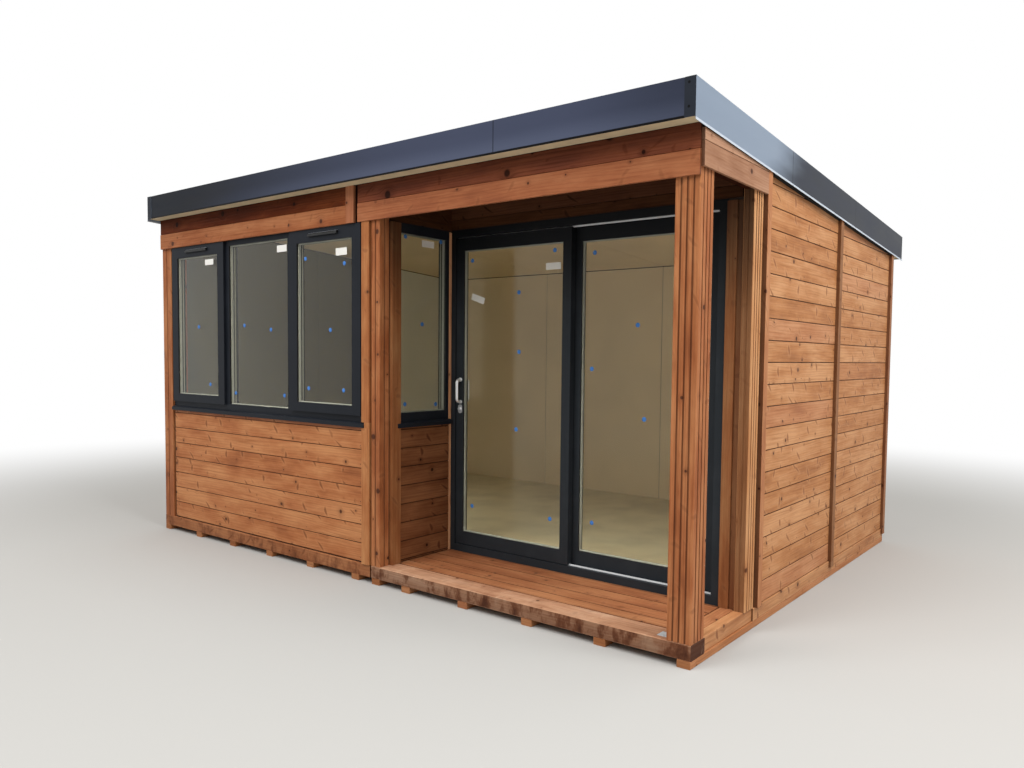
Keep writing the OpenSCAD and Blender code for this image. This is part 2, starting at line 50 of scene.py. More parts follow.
# A wall's direction with the way out of it
FRONT, RIGHT, LEFT, REAR = (X, -Y), (Y, X), (Y, -X), (X, Y)
SHARP_ANGLE = 32.0
FIT = 0.2
WHITE = (1.0, 1.0, 1.0, 1.0)
# Sizes and places are in millimetres from the body's front left corner, unless a docstring says otherwise.
# A shade darkens a face towards its knot colour, from 0 to 1. It is painted shade where the face lies in shadow, as in
# the porch, under the eaves and on sides turned from the light, and it is stain pooled in flutes and joints. A Shape
# changes a member's points, and a Value is a node's input: a socket or a plain value.
Shape = Callable[[np.ndarray], np.ndarray]
Value = object
Array, Floats = np.ndarray, Sequence[float]

log = logging.getLogger("garden_pod")


class Slot(Enum):
    """The record's material slots, handed to each new piece's build, which doesn't use them."""

    BEARER = "bearer_timber"
    ROUGH = "rough_timber"
    STAINED = "stained_timber"
    DECK = "deck_timber"
    LINING = "pale_lining"
    MEMBRANE = "roof_membrane"
    GLASS = "clear_glass"
    TRACK = "track_metal"
    BLACK = "black_plastic"


def placed(points: Array) -> Array:
    """Places as metres in the parts' frame: less the middle, times 0.001."""
    return (np.asarray(points, float) - MIDDLE) * MM


@dataclass(frozen=True)
class RoofLine:
    """The roof's falling lines: each method gives a line's height over places on Y."""

    top: float = 2500.0
    front: float = -100.0
    back: float = 3364.0
    fall: float = 219.0
    face: float = 164.0
    soffit_rise: float = 5.0
    panel_rise: float = 9.0
    boards_drop: float = 14.0

    @property
    def slope(self) -> float:
        """Fall for each millimetre towards the back."""
        return self.fall / (self.back - self.front)

    def eave(self, y: Array) -> Array:
        """Lower edge of the trim: its top, less the slope times the way from the front edge, less its face."""
        return self.top - (np.asarray(y, float) - self.front) * self.slope - self.face

    def soffit(self, y: Array) -> Array:
        """Underside of the soffit boards."""
        return self.eave(y) + self.soffit_rise

    def under(self, y: Array) -> Array:
        """Underside of the roof panel."""
        return self.soffit(y) + self.panel_rise

    def boards(self, y: Array) -> Array:
        """Top of the side boards, a little below the trim."""
        return self.eave(y) - self.boards_drop


ROOF = RoofLine()


def reshaped(rule: Callable[[Array, Array], Array], sections: slice = slice(None)) -> Shape:
    """Makes a shape that gives a member's points new heights.

    Args:
        rule: The new height as a function of a point's height and its place on Y.
        sections: Which of the member's sections it changes.

    Returns:
        A function of the member's points.
    """
    def shape(grid: Array) -> Array:
        """The points with their new heights."""
        changed = grid.copy()
        changed[sections, :, 2] = rule(grid[sections, :, 2], grid[sections, :, 1])
        return changed
    return shape


# The member's last section ends under the roof panel, or under the ceiling
LAST = slice(-1, None)
TO_ROOF = reshaped(lambda z, y: ROOF.under(y) - FIT, LAST)
TO_CEILING = reshaped(lambda z, y: ROOF.under(y) - 16.0, LAST)
# No point lies above the roof panel's underside, or above the side boards' top
UNDER_ROOF = reshaped(lambda z, y: np.minimum(z, ROOF.under(y) - FIT))
UNDER_TRIM = reshaped(lambda z, y: np.minimum(z, ROOF.boards(y)))
# The member follows the roof's fall, as the ceiling's boards or the dark strips of painted shadow behind the side trims
AS_CEILING = reshaped(lambda z, y: ROOF.under(y) - 9.0 + z)
AS_VERGE = reshaped(lambda z, y: ROOF.eave(y) - 16.0 + z)


def plain_section(width: float, height: float) -> Array:
    """A rectangle from the origin, as four rows of two coordinates and no shade."""
    return np.array([[0, 0, 0], [width, 0, 0], [width, height, 0], [0, height, 0]], float)


def eased_rectangle(width: float, height: float, ease: float = 1.5, shades: Floats = ()) -> Array:
    """A rectangle from the origin with its four corners cut off at 45 degrees.

    Args:
        width: Size along the first axis.
        height: Size along the second axis.
        ease: Leg of each corner's cut.
        shades: Shades of the sides, from the one at the second axis' start round.

    Returns:
        Eight rows of two coordinates and the shade of the face after them, round the outline.
    """
    w, h, e = width, height, ease
    points = np.array([[e, 0], [w - e, 0], [w, e], [w, h - e], [w - e, h], [e, h], [0, h - e], [0, e]], float)
    return np.column_stack([points, [*shades] + [0.0] * (8 - len(shades))])


def banded_rectangle(width: float, height: float, bands: Floats, ease: float) -> Array:
    """An eased rectangle whose side at the first axis' start is split into even bands of shade.

    Args:
        width: Size along the first axis.
        height: Size along the second axis.
        bands: Shade of each band, from the far end of the second axis down.
        ease: Leg of each corner's cut.

    Returns:
        Rows of two coordinates and the shade of the face after them, round the outline.
    """
    plain = eased_rectangle(width, height, ease)
    heights = np.linspace(height - ease, ease, len(bands) + 1)[:-1]
    return np.concatenate([plain[:6], np.column_stack([np.zeros(len(bands)), heights, bands]), plain[7:]])


def shiplap_section(cover: float, thick: float, groove: float = 4.0, sunk: float = 6.5,
                    ease: float = 1.4) -> Array:
    """Section of a cladding board: a flat face with eased edges over a recessed lower joint.

    Args:
        cover: Height of one course.
        thick: Depth of the board.
        groove: Height of the joint.
        sunk: Depth of the joint.
        ease: Leg of the face's eased edges.

    Returns:
        Rows of height, depth and the shade of the face after them, round the outline.
    """
    back, edge = thick - sunk, thick - ease
    return np.array([[0, 0, 1], [0, back, 1], [groove, back, 0.9], [groove, edge, 0.35], [groove + ease, thick, 0],
                     [cover - ease, thick, 0.3], [cover, edge, 1], [cover, 0, 1]], float)


def fluted_section(width: float, depth: float, pitch: float, front: float, radius: float = 4.5,
                   ease: float = 3.0) -> Array:
    """Section of a post whose four faces carry half-round flutes at equal steps.

    Each face is a straight line with circular arcs of the flute's radius sunk into it, and the
    four corners are cut off. The flutes are painted dark, for stain pooled in them and as painted shade.

    Args:
        width: Size along X.
        depth: Size along Y.
        pitch: Least distance between two flutes.
        front: Shade of the side at the second axis' start.
        radius: Radius of one flute.
        ease: Leg of each corner's cut.

    Returns:
        Rows of two coordinates and the shade of the face after them, round the outline.
    """
    corners = np.array([[0, 0], [width, 0], [width, depth], [0, depth]], float)
    angles = np.linspace(0.0, math.pi, 7)
    rows = []
    for start, end, shade in zip(corners, np.roll(corners, -1, axis=0), (front, 0.0, 0.0, 0.0)):
        length = float(np.linalg.norm(end - start))
        along = (end - start) / length
        inward = np.array([-along[1], along[0]])
        count = max(2, int(length // pitch))
        rows.append([*(start + along * ease), shade])
        for middle in length * np.arange(1, count) / count:
            arc = (middle - radius * np.cos(angles))[:, None] * along + (radius * np.sin(angles))[:, None] * inward
            rows.extend(np.column_stack([start + arc, [0.7] * (len(angles) - 1) + [shade]]).tolist())
        rows.append([*(end - along * ease), 0.0])
    return np.array(rows)


class Draws:
    """Seeded random numbers, so that every run makes the same boards."""

    TONE_SPREAD, DEPTH, LENGTH, WIDTH = 0.45, 40.0, 30.0, 5.0

    def __init__(self, seed: int) -> None:
        """Starts the row of numbers from a seed."""
        self.rng = np.random.default_rng(seed)

    def tone(self) -> float:
        """A board's tone from -1, dark, to 1, light, mostly near 0."""
        return float(np.clip(self.rng.normal(0.0, self.TONE_SPREAD), -1.0, 1.0))

    def seed(self) -> float:
        """A place in the grain's depth that gives a board its own knots."""
        return float(self.rng.uniform(0.0, self.DEPTH))

    def shift(self) -> tuple[float, float]:
        """How far a board's grain is moved along and across, in metres."""
        return float(self.rng.uniform(0.0, self.LENGTH)), float(self.rng.uniform(0.0, self.WIDTH))

    def phases(self) -> Array:
        """Where the two parts of a board's wave begin."""
        return self.rng.uniform(0, 2 * math.pi, 2)


def seeded(seed: int) -> Draws:
    """A field of a sub-assembly that holds its own random numbers."""
    return field(default_factory=lambda: Draws(seed))


@dataclass
class Pile:
    """Surfaces that become one piece."""

    name: str
    points: list[Array] = field(default_factory=list, init=False)
    faces: list[list[int]] = field(default_factory=list, init=False)

    def grow(self, points: Array, *blocks: Array) -> None:
        """Adds a surface.

        Args:
            points: Its points.
            blocks: Arrays of its faces, numbered from the first of these points.
        """
        start = sum(len(block) for block in self.points)
        self.points.append(points.reshape(-1, 3))
        for faces in blocks:
            self.faces.extend((faces + start).tolist())

    def mesh(self) -> bpy.types.Mesh:
        """The pile's mesh, in its place."""
        mesh = bpy.data.meshes.new(self.name)
        mesh.from_pydata(placed(np.concatenate(self.points)).tolist(), [], self.faces)
        return mesh

    def build(self, finish: "Finish", slot: Slot = Slot.STAINED, body: str = POD, nodes: Sequence[str] = ()) -> None:
        """Args:
            finish: What the piece is finished in.
            slot: The record's slot of that finish; not used.
            body: The body it rides on.
            nodes: The CAD nodes that it stands for.
        """
        mesh = self.mesh()
        mesh.validate()
        mesh.polygons.foreach_set("use_smooth", np.ones(len(mesh.polygons), bool))
        mesh.set_sharp_from_angle(angle=math.radians(SHARP_ANGLE))
        mesh.materials.append(finish.material())
        piece = linked(self.name, mesh)
        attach(piece, body)
        if nodes:
            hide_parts(*nodes)
        log.info("%s: %d faces on %s", self.name, len(mesh.polygons), body)


@dataclass
class Turned(Pile):
    """Small turned parts: each point is spot + r cos(a) first + r sin(a) second + h out.

    The pair (r, h) runs down the profile, and a runs round it.
    """

    profile: tuple
    sides: int = 8

    def add(self, spots: Sequence[Floats], out: Array) -> None:
        """Adds one part at each spot.

        Args:
            spots: Places of the parts' feet.
            out: Level direction that the parts face.
        """
        first = np.cross(out, Z)
        turn = np.linspace(0.0, 2 * math.pi, self.sides, endpoint=False)[:, None]
        ring = first * np.cos(turn) + np.cross(out, first) * np.sin(turn)
        radius, height = np.asarray(self.profile, float).T[..., None, None]
        grid = np.asarray(spots, float)[:, None, None] + radius * ring + height * out
        index = np.arange(grid[..., 0].size).reshape(grid.shape[:3])
        along = np.roll(index, -1, axis=2)
        quads = np.stack([index[:, :-1], index[:, 1:], along[:, 1:], along[:, :-1]], axis=-1)
        self.grow(grid, quads.reshape(-1, 4), index[:, 0], index[:, -1, ::-1])


@dataclass
class Stock(Pile):
    """Straight members that become one piece, with its grain along each member.

    A member's surface is origin + run * t + first * a + second * b, where t goes along the
    stations and (a, b) goes round the section. Its slow wave is the sum of two sines of t,
    whose shares and lengths WAVES holds.
    """

    WAVES = ((0.6, 410.0), (0.4, 173.0))
    draws: Draws
    corners: list[Array] = field(default_factory=list, init=False)
    marks: list[Array] = field(default_factory=list, init=False)

    def member(self, section: Array, origin: Floats, length: float, axes: Sequence[Array],
               stations: int = 2, shape: Optional[Shape] = None, tone: Optional[float] = None, wave: float = 0.0,
               shade: float = 0.0) -> None:
        """Adds one member to the pile.

        Args:
            section: Rows of first and second coordinates and the shade after them.
            origin: Where the section's origin starts.
            length: The member's length.
            axes: Direction of the member and of the section's first and second axes.
            stations: Number of sections along the member.
            shape: Changes the finished points, as a cut parallel to the roof does.
            tone: The member's tone, drawn at random if it is left out.
            wave: Height of a slow wave along the member, towards the second axis.
            shade: Least shade all over the member.
        """
        run, first, second = axes
        outline, t = section[:, :2], np.linspace(0.0, length, stations)[:, None, None]
        shift_u, shift_v = self.draws.shift()
        grid = np.asarray(origin, float) + t * run + outline[:, :1] * first + outline[:, 1:] * second
        if wave:
            swell = wave * sum(share * np.sin(t / span + phase)
                               for (share, span), phase in zip(self.WAVES, self.draws.phases()))
            grid = grid + swell * np.clip(outline[:, 1:] / outline[:, 1].max(), 0, 1) * second
        if shape:
            grid = shape(grid)
        s, p = grid.shape[:2]
        sides = np.linalg.norm(np.roll(outline, -1, axis=0) - outline, axis=1)
        u, v = t.ravel() * MM + shift_u, np.concatenate([[0.0], np.cumsum(sides)]) * MM + shift_v
        i, j = (index.ravel() for index in np.meshgrid(np.arange(s - 1), np.arange(p), indexing="ij"))
        k = (j + 1) % p
        quads = np.stack([i * p + j, i * p + k, (i + 1) * p + k, (i + 1) * p + j], axis=1)
        uv = np.stack([np.stack(pair, 1) for pair in ((u[i], v[j]), (u[i], v[j + 1]), (u[i + 1], v[j + 1]),
                                                      (u[i + 1], v[j]))], axis=1)
        caps = [np.arange(p)[::-1], (s - 1) * p + np.arange(p)]
        cap_uv = [outline[::-1] * MM + shift_v, outline * MM + shift_v]
        flat = grid.reshape(-1, 3)
        a, b, c = (flat[quads[:, corner]] for corner in range(3))
        if np.einsum("ij,ij->i", np.cross(b - a, c - a), (a + c) / 2 - flat.mean(0)).sum() < 0:
            quads, uv = quads[:, ::-1], uv[:, ::-1]
            caps, cap_uv = [cap[::-1] for cap in caps], [cap[::-1] for cap in cap_uv]
        self.grow(flat, quads, np.stack(caps))
        self.corners.extend([uv.reshape(-1, 2), *cap_uv])
        marks = np.zeros((4, len(quads) + 2))
        marks[0] = self.draws.tone() if tone is None else tone
        marks[1] = self.draws.seed()
        marks[2, -2:] = 1.0
        marks[3] = np.maximum(shade, [*section[j, 2], 0.0, 0.0])
        self.marks.append(marks)

    def fill(self, members: Sequence[dict]) -> "Stock":
        """Adds members, each given by what member takes, and hands the pile on."""
        for member in members:
            self.member(**member)
        return self

    def mesh(self) -> bpy.types.Mesh:
        """The pile's mesh with its grain map, and the tone, seed, cut end and shade of each face."""
        mesh = super().mesh()
        grain = mesh.uv_layers.new(name="grain").data
        grain.foreach_set("uv", np.concatenate(self.corners).astype(np.float32).ravel())
        for name, values in zip(("tone", "seed", "cut_end", "shade"), np.concatenate(self.marks, axis=1)):
            mesh.attributes.new(name, "FLOAT", "FACE").data.foreach_set("value", values.astype(np.float32))
        return mesh


def linked(name: str, data: bpy.types.ID) -> bpy.types.Object:
    """A new object of a mesh, a lamp or a camera, linked to the scene."""
    made = bpy.data.objects.new(name, data)
    bpy.context.scene.collection.objects.link(made)
    return made


class NodeBoard:
    """A short way to write the nodes of a material or of the world."""

    def __init__(self, owner: bpy.types.ID, output: str = "OutputMaterial") -> None:
        """Clears the owner's nodes and adds its output."""
        owner.use_nodes = True
        self.tree = owner.node_tree
        self.tree.nodes.clear()
        self.output = self.node(output)

    def node(self, kind: str, inputs: Optional[dict] = None, **settings: object) -> bpy.types.Node:
        """Adds a node.

        Args:
            kind: The shader node's type, without the words that all types begin with.
            inputs: What its inputs are linked to or hold, by number or name.
            settings: Its properties.

        Returns:
            The new node.
        """
        made = self.tree.nodes.new(f"ShaderNode{kind}")
        for key, value in settings.items():
            setattr(made, key, value)
        for key, value in (inputs or {}).items():
            self.feed(made.inputs[key], value)
        return made

    def feed(self, socket: bpy.types.NodeSocket, value: Value) -> None:
        """Links a socket to another one, or sets its value."""
        if isinstance(value, bpy.types.NodeSocket):
            self.tree.links.new(value, socket)
        else:
            socket.default_value = value

    def place(self, kind: str = "Object") -> Value:
        """The point's coordinates, in metres."""
        return self.node("TexCoord").outputs[kind]

    def mark(self, name: str) -> Value:
        """The value that a face carries."""
        return self.node("Attribute", attribute_name=name).outputs["Fac"]

    def split(self, vector: Value) -> Sequence[Value]:
        """A vector's three values."""
        return self.node("SeparateXYZ", {0: vector}).outputs

    def joined(self, *values: Value) -> Value:
        """A vector of its values."""
        return self.node("CombineXYZ", dict(enumerate(values))).outputs[0]

    def math(self, operation: str, *values: Value) -> Value:
        """A Math node's result."""
        return self.node("Math", dict(enumerate(values)), operation=operation).outputs[0]

    def times(self, a: Value, b: Value) -> Value:
        """The product of two values."""
        return self.math("MULTIPLY", a, b)

    def vector(self, operation: str, *values: Value) -> Value:
        """A Vector Math node's vector."""
        return self.node("VectorMath", dict(enumerate(values)), operation=operation).outputs[0]

    def length(self, vector: Value) -> Value:
        """A vector's length."""
        return self.node("VectorMath", {0: vector}, operation="LENGTH").outputs["Value"]

    def range(self, value: Value, low: Value, high: Value, to_low: float = 0.0, to_high: float = 1.0,
              kind: str = "SMOOTHSTEP") -> Value:
        """A value mapped from one range to another, held at its ends."""
        return self.node("MapRange", {0: value, 1: low, 2: high, 3: to_low, 4: to_high},
                         interpolation_type=kind, clamp=True).outputs[0]

    def line(self, *values: Value) -> Value:
        """A value mapped along a straight line from one range to another, held at its ends."""
        return self.range(*values, kind="LINEAR")

    def layers(self, colour: Value, rows: Sequence[tuple]) -> Value:
        """Lays colours over a first one.

        Args:
            colour: The first colour.
            rows: Pairs of a factor and the colour that is mixed in by it, in order.

        Returns:
            The last mix.
        """
        for factor, other in rows:
            colour = self.node("Mix", {0: factor, 6: colour, 7: other}, data_type="RGBA",
                               clamp_factor=True).outputs[2]
        return colour

    def noise(self, vector: Value, scale: float, detail: float = 2.0, rough: float = 0.5) -> Value:
        """A noise value round 0.5."""
        return self.node("TexNoise", {"Vector": vector, "Scale": scale, "Detail": detail, "Roughness": rough},
                         noise_dimensions="3D").outputs[0]

    def seen(self) -> Value:
        """1 for rays from the camera, from gloss and through glass, and 0 for the rest."""
        path = self.node("LightPath").outputs
        return self.math("MAXIMUM", path["Is Camera Ray"], self.math("MAXIMUM", path["Is Glossy Ray"],
                                                                     path["Is Transmission Ray"]))

    def coat(self, colour: Value, rough: Value, relief: tuple, **more: Value) -> None:
        """Ends a solid material.

        Args:
            colour: Its base colour.
            rough: Its roughness.
            relief: The bump's height, strength and distance.
            more: Other inputs, with an underscore for each space of their names.
        """
        bump = self.node("Bump", dict(zip(("Height", "Strength", "Distance"), relief))).outputs[0]
        self.ends(self.node("BsdfPrincipled", {"Base Color": colour, "Roughness": rough, "Normal": bump,
                                               **{key.replace("_", " "): value for key, value in more.items()}}))

    def ends(self, shader: bpy.types.Node, other: Optional[bpy.types.Node] = None, share: Value = 0.0) -> None:
        """Links the output to a shader.

        Args:
            shader: The shader.
            other: A second shader that is mixed in.
            share: How much of the second one shows.
        """
        if other:
            shader = self.node("MixShader", {0: share, 1: shader.outputs[0], 2: other.outputs[0]})
        self.feed(self.output.inputs["Surface"], shader.outputs[0])


def srgb(red: float, green: float, blue: float) -> tuple[float, float, float, float]:
    """A colour from 0 to 255 as the linear values that shaders take."""
    values = [c / 255 for c in (red, green, blue)]
    linear = [v / 12.92 if v <= 0.04045 else ((v + 0.055) / 1.055) ** 2.4 for v in values]
    return linear[0], linear[1], linear[2], 1.0


class Finish:
    """A finish makes its material once and hands it to every piece that asks."""

    name: str
    made: dict[object, bpy.types.Material] = {}

    def material(self) -> bpy.types.Material:
        """The finish's material, made on first use."""
        if self not in Finish.made:
            Finish.made[self] = bpy.data.materials.new(self.name)
            self.paint(NodeBoard(Finish.made[self]))
        return Finish.made[self]

    def paint(self, board: NodeBoard) -> None:
        """Writes the material's nodes."""
        raise NotImplementedError


@dataclass(frozen=True)
class StainedTimber(Finish):
    """Softwood under a see-through stain: rings, streaks, knots and short slanted marks across the grain.

    Its grain runs by the piece's own map, or else along X. Each face carries painted shade by its shade. Dusk is the
    height in metres at which faces with painted shade are painted nearly black, as painted shadow under the porch roof.
    A metre holds so many cells of knots and of marks, by axis.
    """

    name: str
    base: tuple = (172, 112, 72)
    light: tuple = (200, 144, 100)
    dark: tuple = (112, 61, 34)
    knot: tuple = (58, 27, 15)
    mapped: bool = True
    knots: float = 1.0
    knot_size: float = 1.0
    rings: float = 1.0
    marks: float = 1.0
    end_dark: float = 0.6
    roughness: float = 0.62
    weathered: float = 0.0
    gloss: float = 0.2
    dusk: Optional[float] = None
    KNOT_CELLS = (3.3, 9.5, 9.5)
    MARK_CELLS = (4.6, 8.6, 9.0)
    FLAT = (1.0, 1.0, 0.12)

    def spots(self, board: NodeBoard, place: Value, cells: tuple) -> tuple:
        """Random spots, one to a cell.

        Args:
            board: The material's nodes.
            place: Coordinates along the grain, across it and in depth.
            cells: Number of cells in a metre, by axis.

        Returns:
            Offsets to the nearest spot along and across the grain, its distance and its chances.
        """
        scaled = board.vector("MULTIPLY", place, cells)
        cell = board.node("TexVoronoi", {"Vector": scaled, "Scale": 1.0}, voronoi_dimensions="3D").outputs
        offset = board.vector("DIVIDE", board.vector("SUBTRACT", cell["Position"], scaled), cells)
        parts = board.split(offset)
        return (parts[0], parts[1], board.length(board.vector("MULTIPLY", offset, self.FLAT)),
                board.node("SeparateColor", {0: cell["Color"]}).outputs)

    def slants(self, board: NodeBoard, place: Value) -> tuple:
        """Short marks across the grain: the distance from a slanted line, curled by a sine, sets how dark they are.

        Args:
            board: The material's nodes.
            place: Coordinates along the grain, across it and in depth.

        Returns:
            Factors of the dark stroke and of the pale patch round it.
        """
        along, across, _, chances = self.spots(board, place, self.MARK_CELLS)
        lean = board.times(across, board.line(chances[1], 0.0, 1.0, -0.1, 1.5))
        turn = board.math("MULTIPLY_ADD", across, 62.0, board.times(chances[2], 6.0))
        curl = board.times(board.math("SINE", turn), 0.006)
        line = board.math("ABSOLUTE", board.math("ADD", along, board.math("ADD", curl, lean)))
        height = board.math("ABSOLUTE", across)
        present = board.range(chances[0], 0.30, 0.42, 0.0, self.marks)
        wide = board.line(height, 0.0, 0.036, 0.019, 0.006)
        stroke = board.times(board.range(board.math("DIVIDE", line, wide), 0.25, 1.0, 1.0, 0.0),
                             board.range(height, 0.012, 0.036, 1.0, 0.0))
        halo = board.times(board.range(line, 0.004, 0.036, 1.0, 0.0), board.range(height, 0.02, 0.055, 1.0, 0.0))
        return board.times(stroke, present), board.times(halo, present)

    def paint(self, board: NodeBoard) -> None:
        """Colour from stain, rings, streaks, knots and slanted marks; bump from the same."""
        place, seed, shade = board.place(), board.mark("seed"), board.mark("shade")
        rise = board.split(place)[2]
        if self.mapped:
            chart = board.split(board.node("UVMap", uv_map="grain").outputs[0])
            place = board.joined(chart[0], chart[1], seed)
        _, across, reach, chances = self.spots(board, place, self.KNOT_CELLS)
        size = board.line(board.math("POWER", chances[0], 1.6), 0.0, 1.0, 0.003 * self.knot_size,
                          0.0125 * self.knot_size)
        present, ratio = board.range(chances[1], 0.38, 0.42), board.math("DIVIDE", reach, size)
        core = board.times(board.range(ratio, 0.7, 1.3, 1.0, 0.0), present)
        halo = board.times(board.range(ratio, 0.6, 4.4, 1.0, 0.0), present)
        # The grain swerves round the knots, and its rings and streaks follow it
        split = board.split(place)
        swerve = board.math("MULTIPLY_ADD", board.times(across, halo), 0.85, split[1])
        bent = board.joined(split[0], swerve, split[2])
        slow, streak, fibre, blotch = (board.noise(board.vector("MULTIPLY", source, stretch), 1.0, *more)
                                       for source, stretch, more in (
            (bent, (0.6, 4.5, 4.5), ()), (bent, (2.1, 95.0, 95.0), (3.0, 0.6)),
            (bent, (9.0, 380.0, 380.0), (2.0, 0.6)), (place, (2.6, 9.0, 9.0), (4.0, 0.6))))
        wave = board.math("SINE", board.times(board.math("MULTIPLY_ADD", swerve, 58.0, board.times(slow, 9.0)),
                                              2 * math.pi))
        ring = board.range(wave, 0.0, 1.0, 0.0, self.rings)
        stroke, patch = self.slants(board, place)
        base, light, dark, knot = (srgb(*c) for c in (self.base, self.light, self.dark, self.knot))
        lean = board.math("ADD", blotch, board.times(board.mark("tone"), 0.12))
        reddish = board.range(board.math("FRACT", board.times(seed, 7.31)), 0.8, 0.9, 0.0, 0.22)
        rows = [(board.range(lean, 0.36, 0.74), light), (board.range(lean, 0.2, 0.46, 0.46, 0.0), dark),
                (reddish, srgb(176, 112, 92)), (board.times(ring, 0.15), dark),
                (board.range(streak, 0.48, 0.78, 0.0, 0.42), dark),
                (board.range(streak, 0.22, 0.46, 0.34, 0.0), light),
                (board.range(fibre, 0.5, 0.85, 0.0, 0.3), dark), (board.times(patch, 0.36), light),
                (board.times(halo, 0.3 * self.knots), dark), (board.times(stroke, 0.7), dark),
                (board.times(core, 0.88 * self.knots), knot), (board.times(board.mark("cut_end"), self.end_dark), knot)]
        if self.weathered:
            wear_and_sheen = board.noise(board.vector("MULTIPLY", place, (13.0, 7.0, 16.0)), 1.0, 4.0, 0.65)
            rough_face = board.range(shade, 0.02, 0.2, 0.1, self.weathered)
            rows += [(board.times(board.range(wear_and_sheen, 0.46, 0.58), rough_face), dark),
                     (board.times(board.range(wear_and_sheen, 0.56, 0.7), rough_face), knot),
                     (board.range(wear_and_sheen, 0.3, 0.42, 0.4 * self.weathered, 0.0), light)]
        # Painted shade: each face darkens towards the knot colour by its shade, for shadow on it and for stain pooled
        # in flutes and joints
        rows.append((board.times(shade, 0.8), knot))
        # Painted shadow under the porch roof: shaded faces turn nearly black towards the dusk height
        if self.dusk:
            deep = board.range(rise, self.dusk - 0.6, self.dusk, 0.0, 0.66)
            rows.append((board.times(deep, board.range(shade, 0.1, 0.3)), srgb(12, 4, 2)))
        height = board.math("ADD", board.math("MULTIPLY_ADD", ring, -0.3, board.times(streak, -0.7)),
                            board.times(core, 0.6))
        rough = board.line(streak, 0.3, 0.75, self.roughness - 0.07, self.roughness + 0.1)
        board.coat(board.layers(base, rows), rough, (height, 0.4, 0.0009), Specular_IOR_Level=self.gloss)


@dataclass(frozen=True)
class CoatedMetal(Finish):
    """Satin coated steel sheet with faint dents from the fold and a fine dust.

    Its sheets may be paler towards the front, as painted reflection, with a painted highlight along the drip edge at
    the sides, a dark screwed lap at the front corners, and thin joints between its lengths. Over the hem its sheet has
    painted sheen, paler to the right and just above the foot, and a dark line of painted shade along the foot.
    The hem is a height in metres, and the joints are measured from the middle.
    """

    name: str
    colour: tuple = (50, 54, 64)
    pale: tuple = (62, 67, 80)
    front: Optional[tuple] = None
    drip: bool = False
    hem: Optional[float] = None
    joints: tuple = ()
    middle: tuple = (64, 70, 90)
    foot: tuple = (84, 91, 112)
    roughness: float = 0.42
    lap_y: float = -99.0
    screw_x: float = 4421.0
    screw_heights: tuple = (2477.0, 2379.0)
    drip_x: float = 4452.6

    def paint(self, board: NodeBoard) -> None:
        """Plain coat colour, clouded a little, over slow waves in the sheet."""
        place = board.place()
        x, y, z = board.split(place)
        cloud = board.noise(board.vector("MULTIPLY", place, (0.9, 0.9, 4.0)), 1.7, 3.0, 0.55)
        dust = board.noise(place, 260.0, 2.0, 0.6)
        rows = [(board.range(cloud, 0.35, 0.68), srgb(*self.pale))]
        # Painted reflection: the side trims turn paler towards the front
        if self.front:
            way = board.math("MULTIPLY_ADD", z, -1.3, board.math("MULTIPLY_ADD", cloud, 0.5, y))
            rows.append((board.range(way, -3.85, -3.15, 1.0, 0.0), srgb(*self.front)))
        rows.append((board.range(dust, 0.6, 0.8, 0.0, 0.12), srgb(150, 152, 156)))
        # Painted sheen over the front trim, paler to the right and just above the foot, and painted shade as a dark
        # line below the hem
        if self.hem:
            wear_and_sheen = board.times(board.range(x, -1.9, 1.0), board.range(x, 1.5, 2.2, 1.0, 0.55))
            rows += [(wear_and_sheen, srgb(*self.middle)),
                     (board.times(wear_and_sheen, board.range(z, self.hem, self.hem + 0.09, 0.6, 0.0)), srgb(*self.foot)),
                     (board.range(z, self.hem - 0.0004, self.hem, 1.0, 0.0), srgb(8, 8, 10))]
        if self.drip:
            side = board.math("ABSOLUTE", x)
            lap = board.math("LESS_THAN", y, (self.lap_y - MIDDLE[1]) * MM)
            rows.append((lap, srgb(38, 42, 50)))
            for height in self.screw_heights:
                reach = board.length(board.joined(board.math("SUBTRACT", side, (self.screw_x - MIDDLE[0]) * MM),
                                                  board.math("SUBTRACT", z, height * MM)))
                rows.append((board.times(lap, board.range(reach, 0.0055, 0.0065, 1.0, 0.0)), srgb(12, 12, 14)))
            # Painted highlight along the drip edge
            rows.append((board.math("GREATER_THAN", side, (self.drip_x - MIDDLE[0]) * MM), srgb(178, 186, 196)))
        for joint in self.joints:
            gap = board.math("ABSOLUTE", board.math("SUBTRACT", y if self.drip else x, joint * MM))
            rows.append((board.range(gap, 0.002, 0.0034, 0.8, 0.0), srgb(10, 11, 14)))
        dent = board.noise(board.vector("MULTIPLY", place, (1.1, 1.1, 7.0)), 2.0, 1.0)
        rough = board.line(cloud, 0.3, 0.7, self.roughness - 0.05, self.roughness + 0.08)
        board.coat(board.layers(srgb(*self.colour), rows), rough, (dent, 0.35, 0.004), Specular_IOR_Level=0.1)


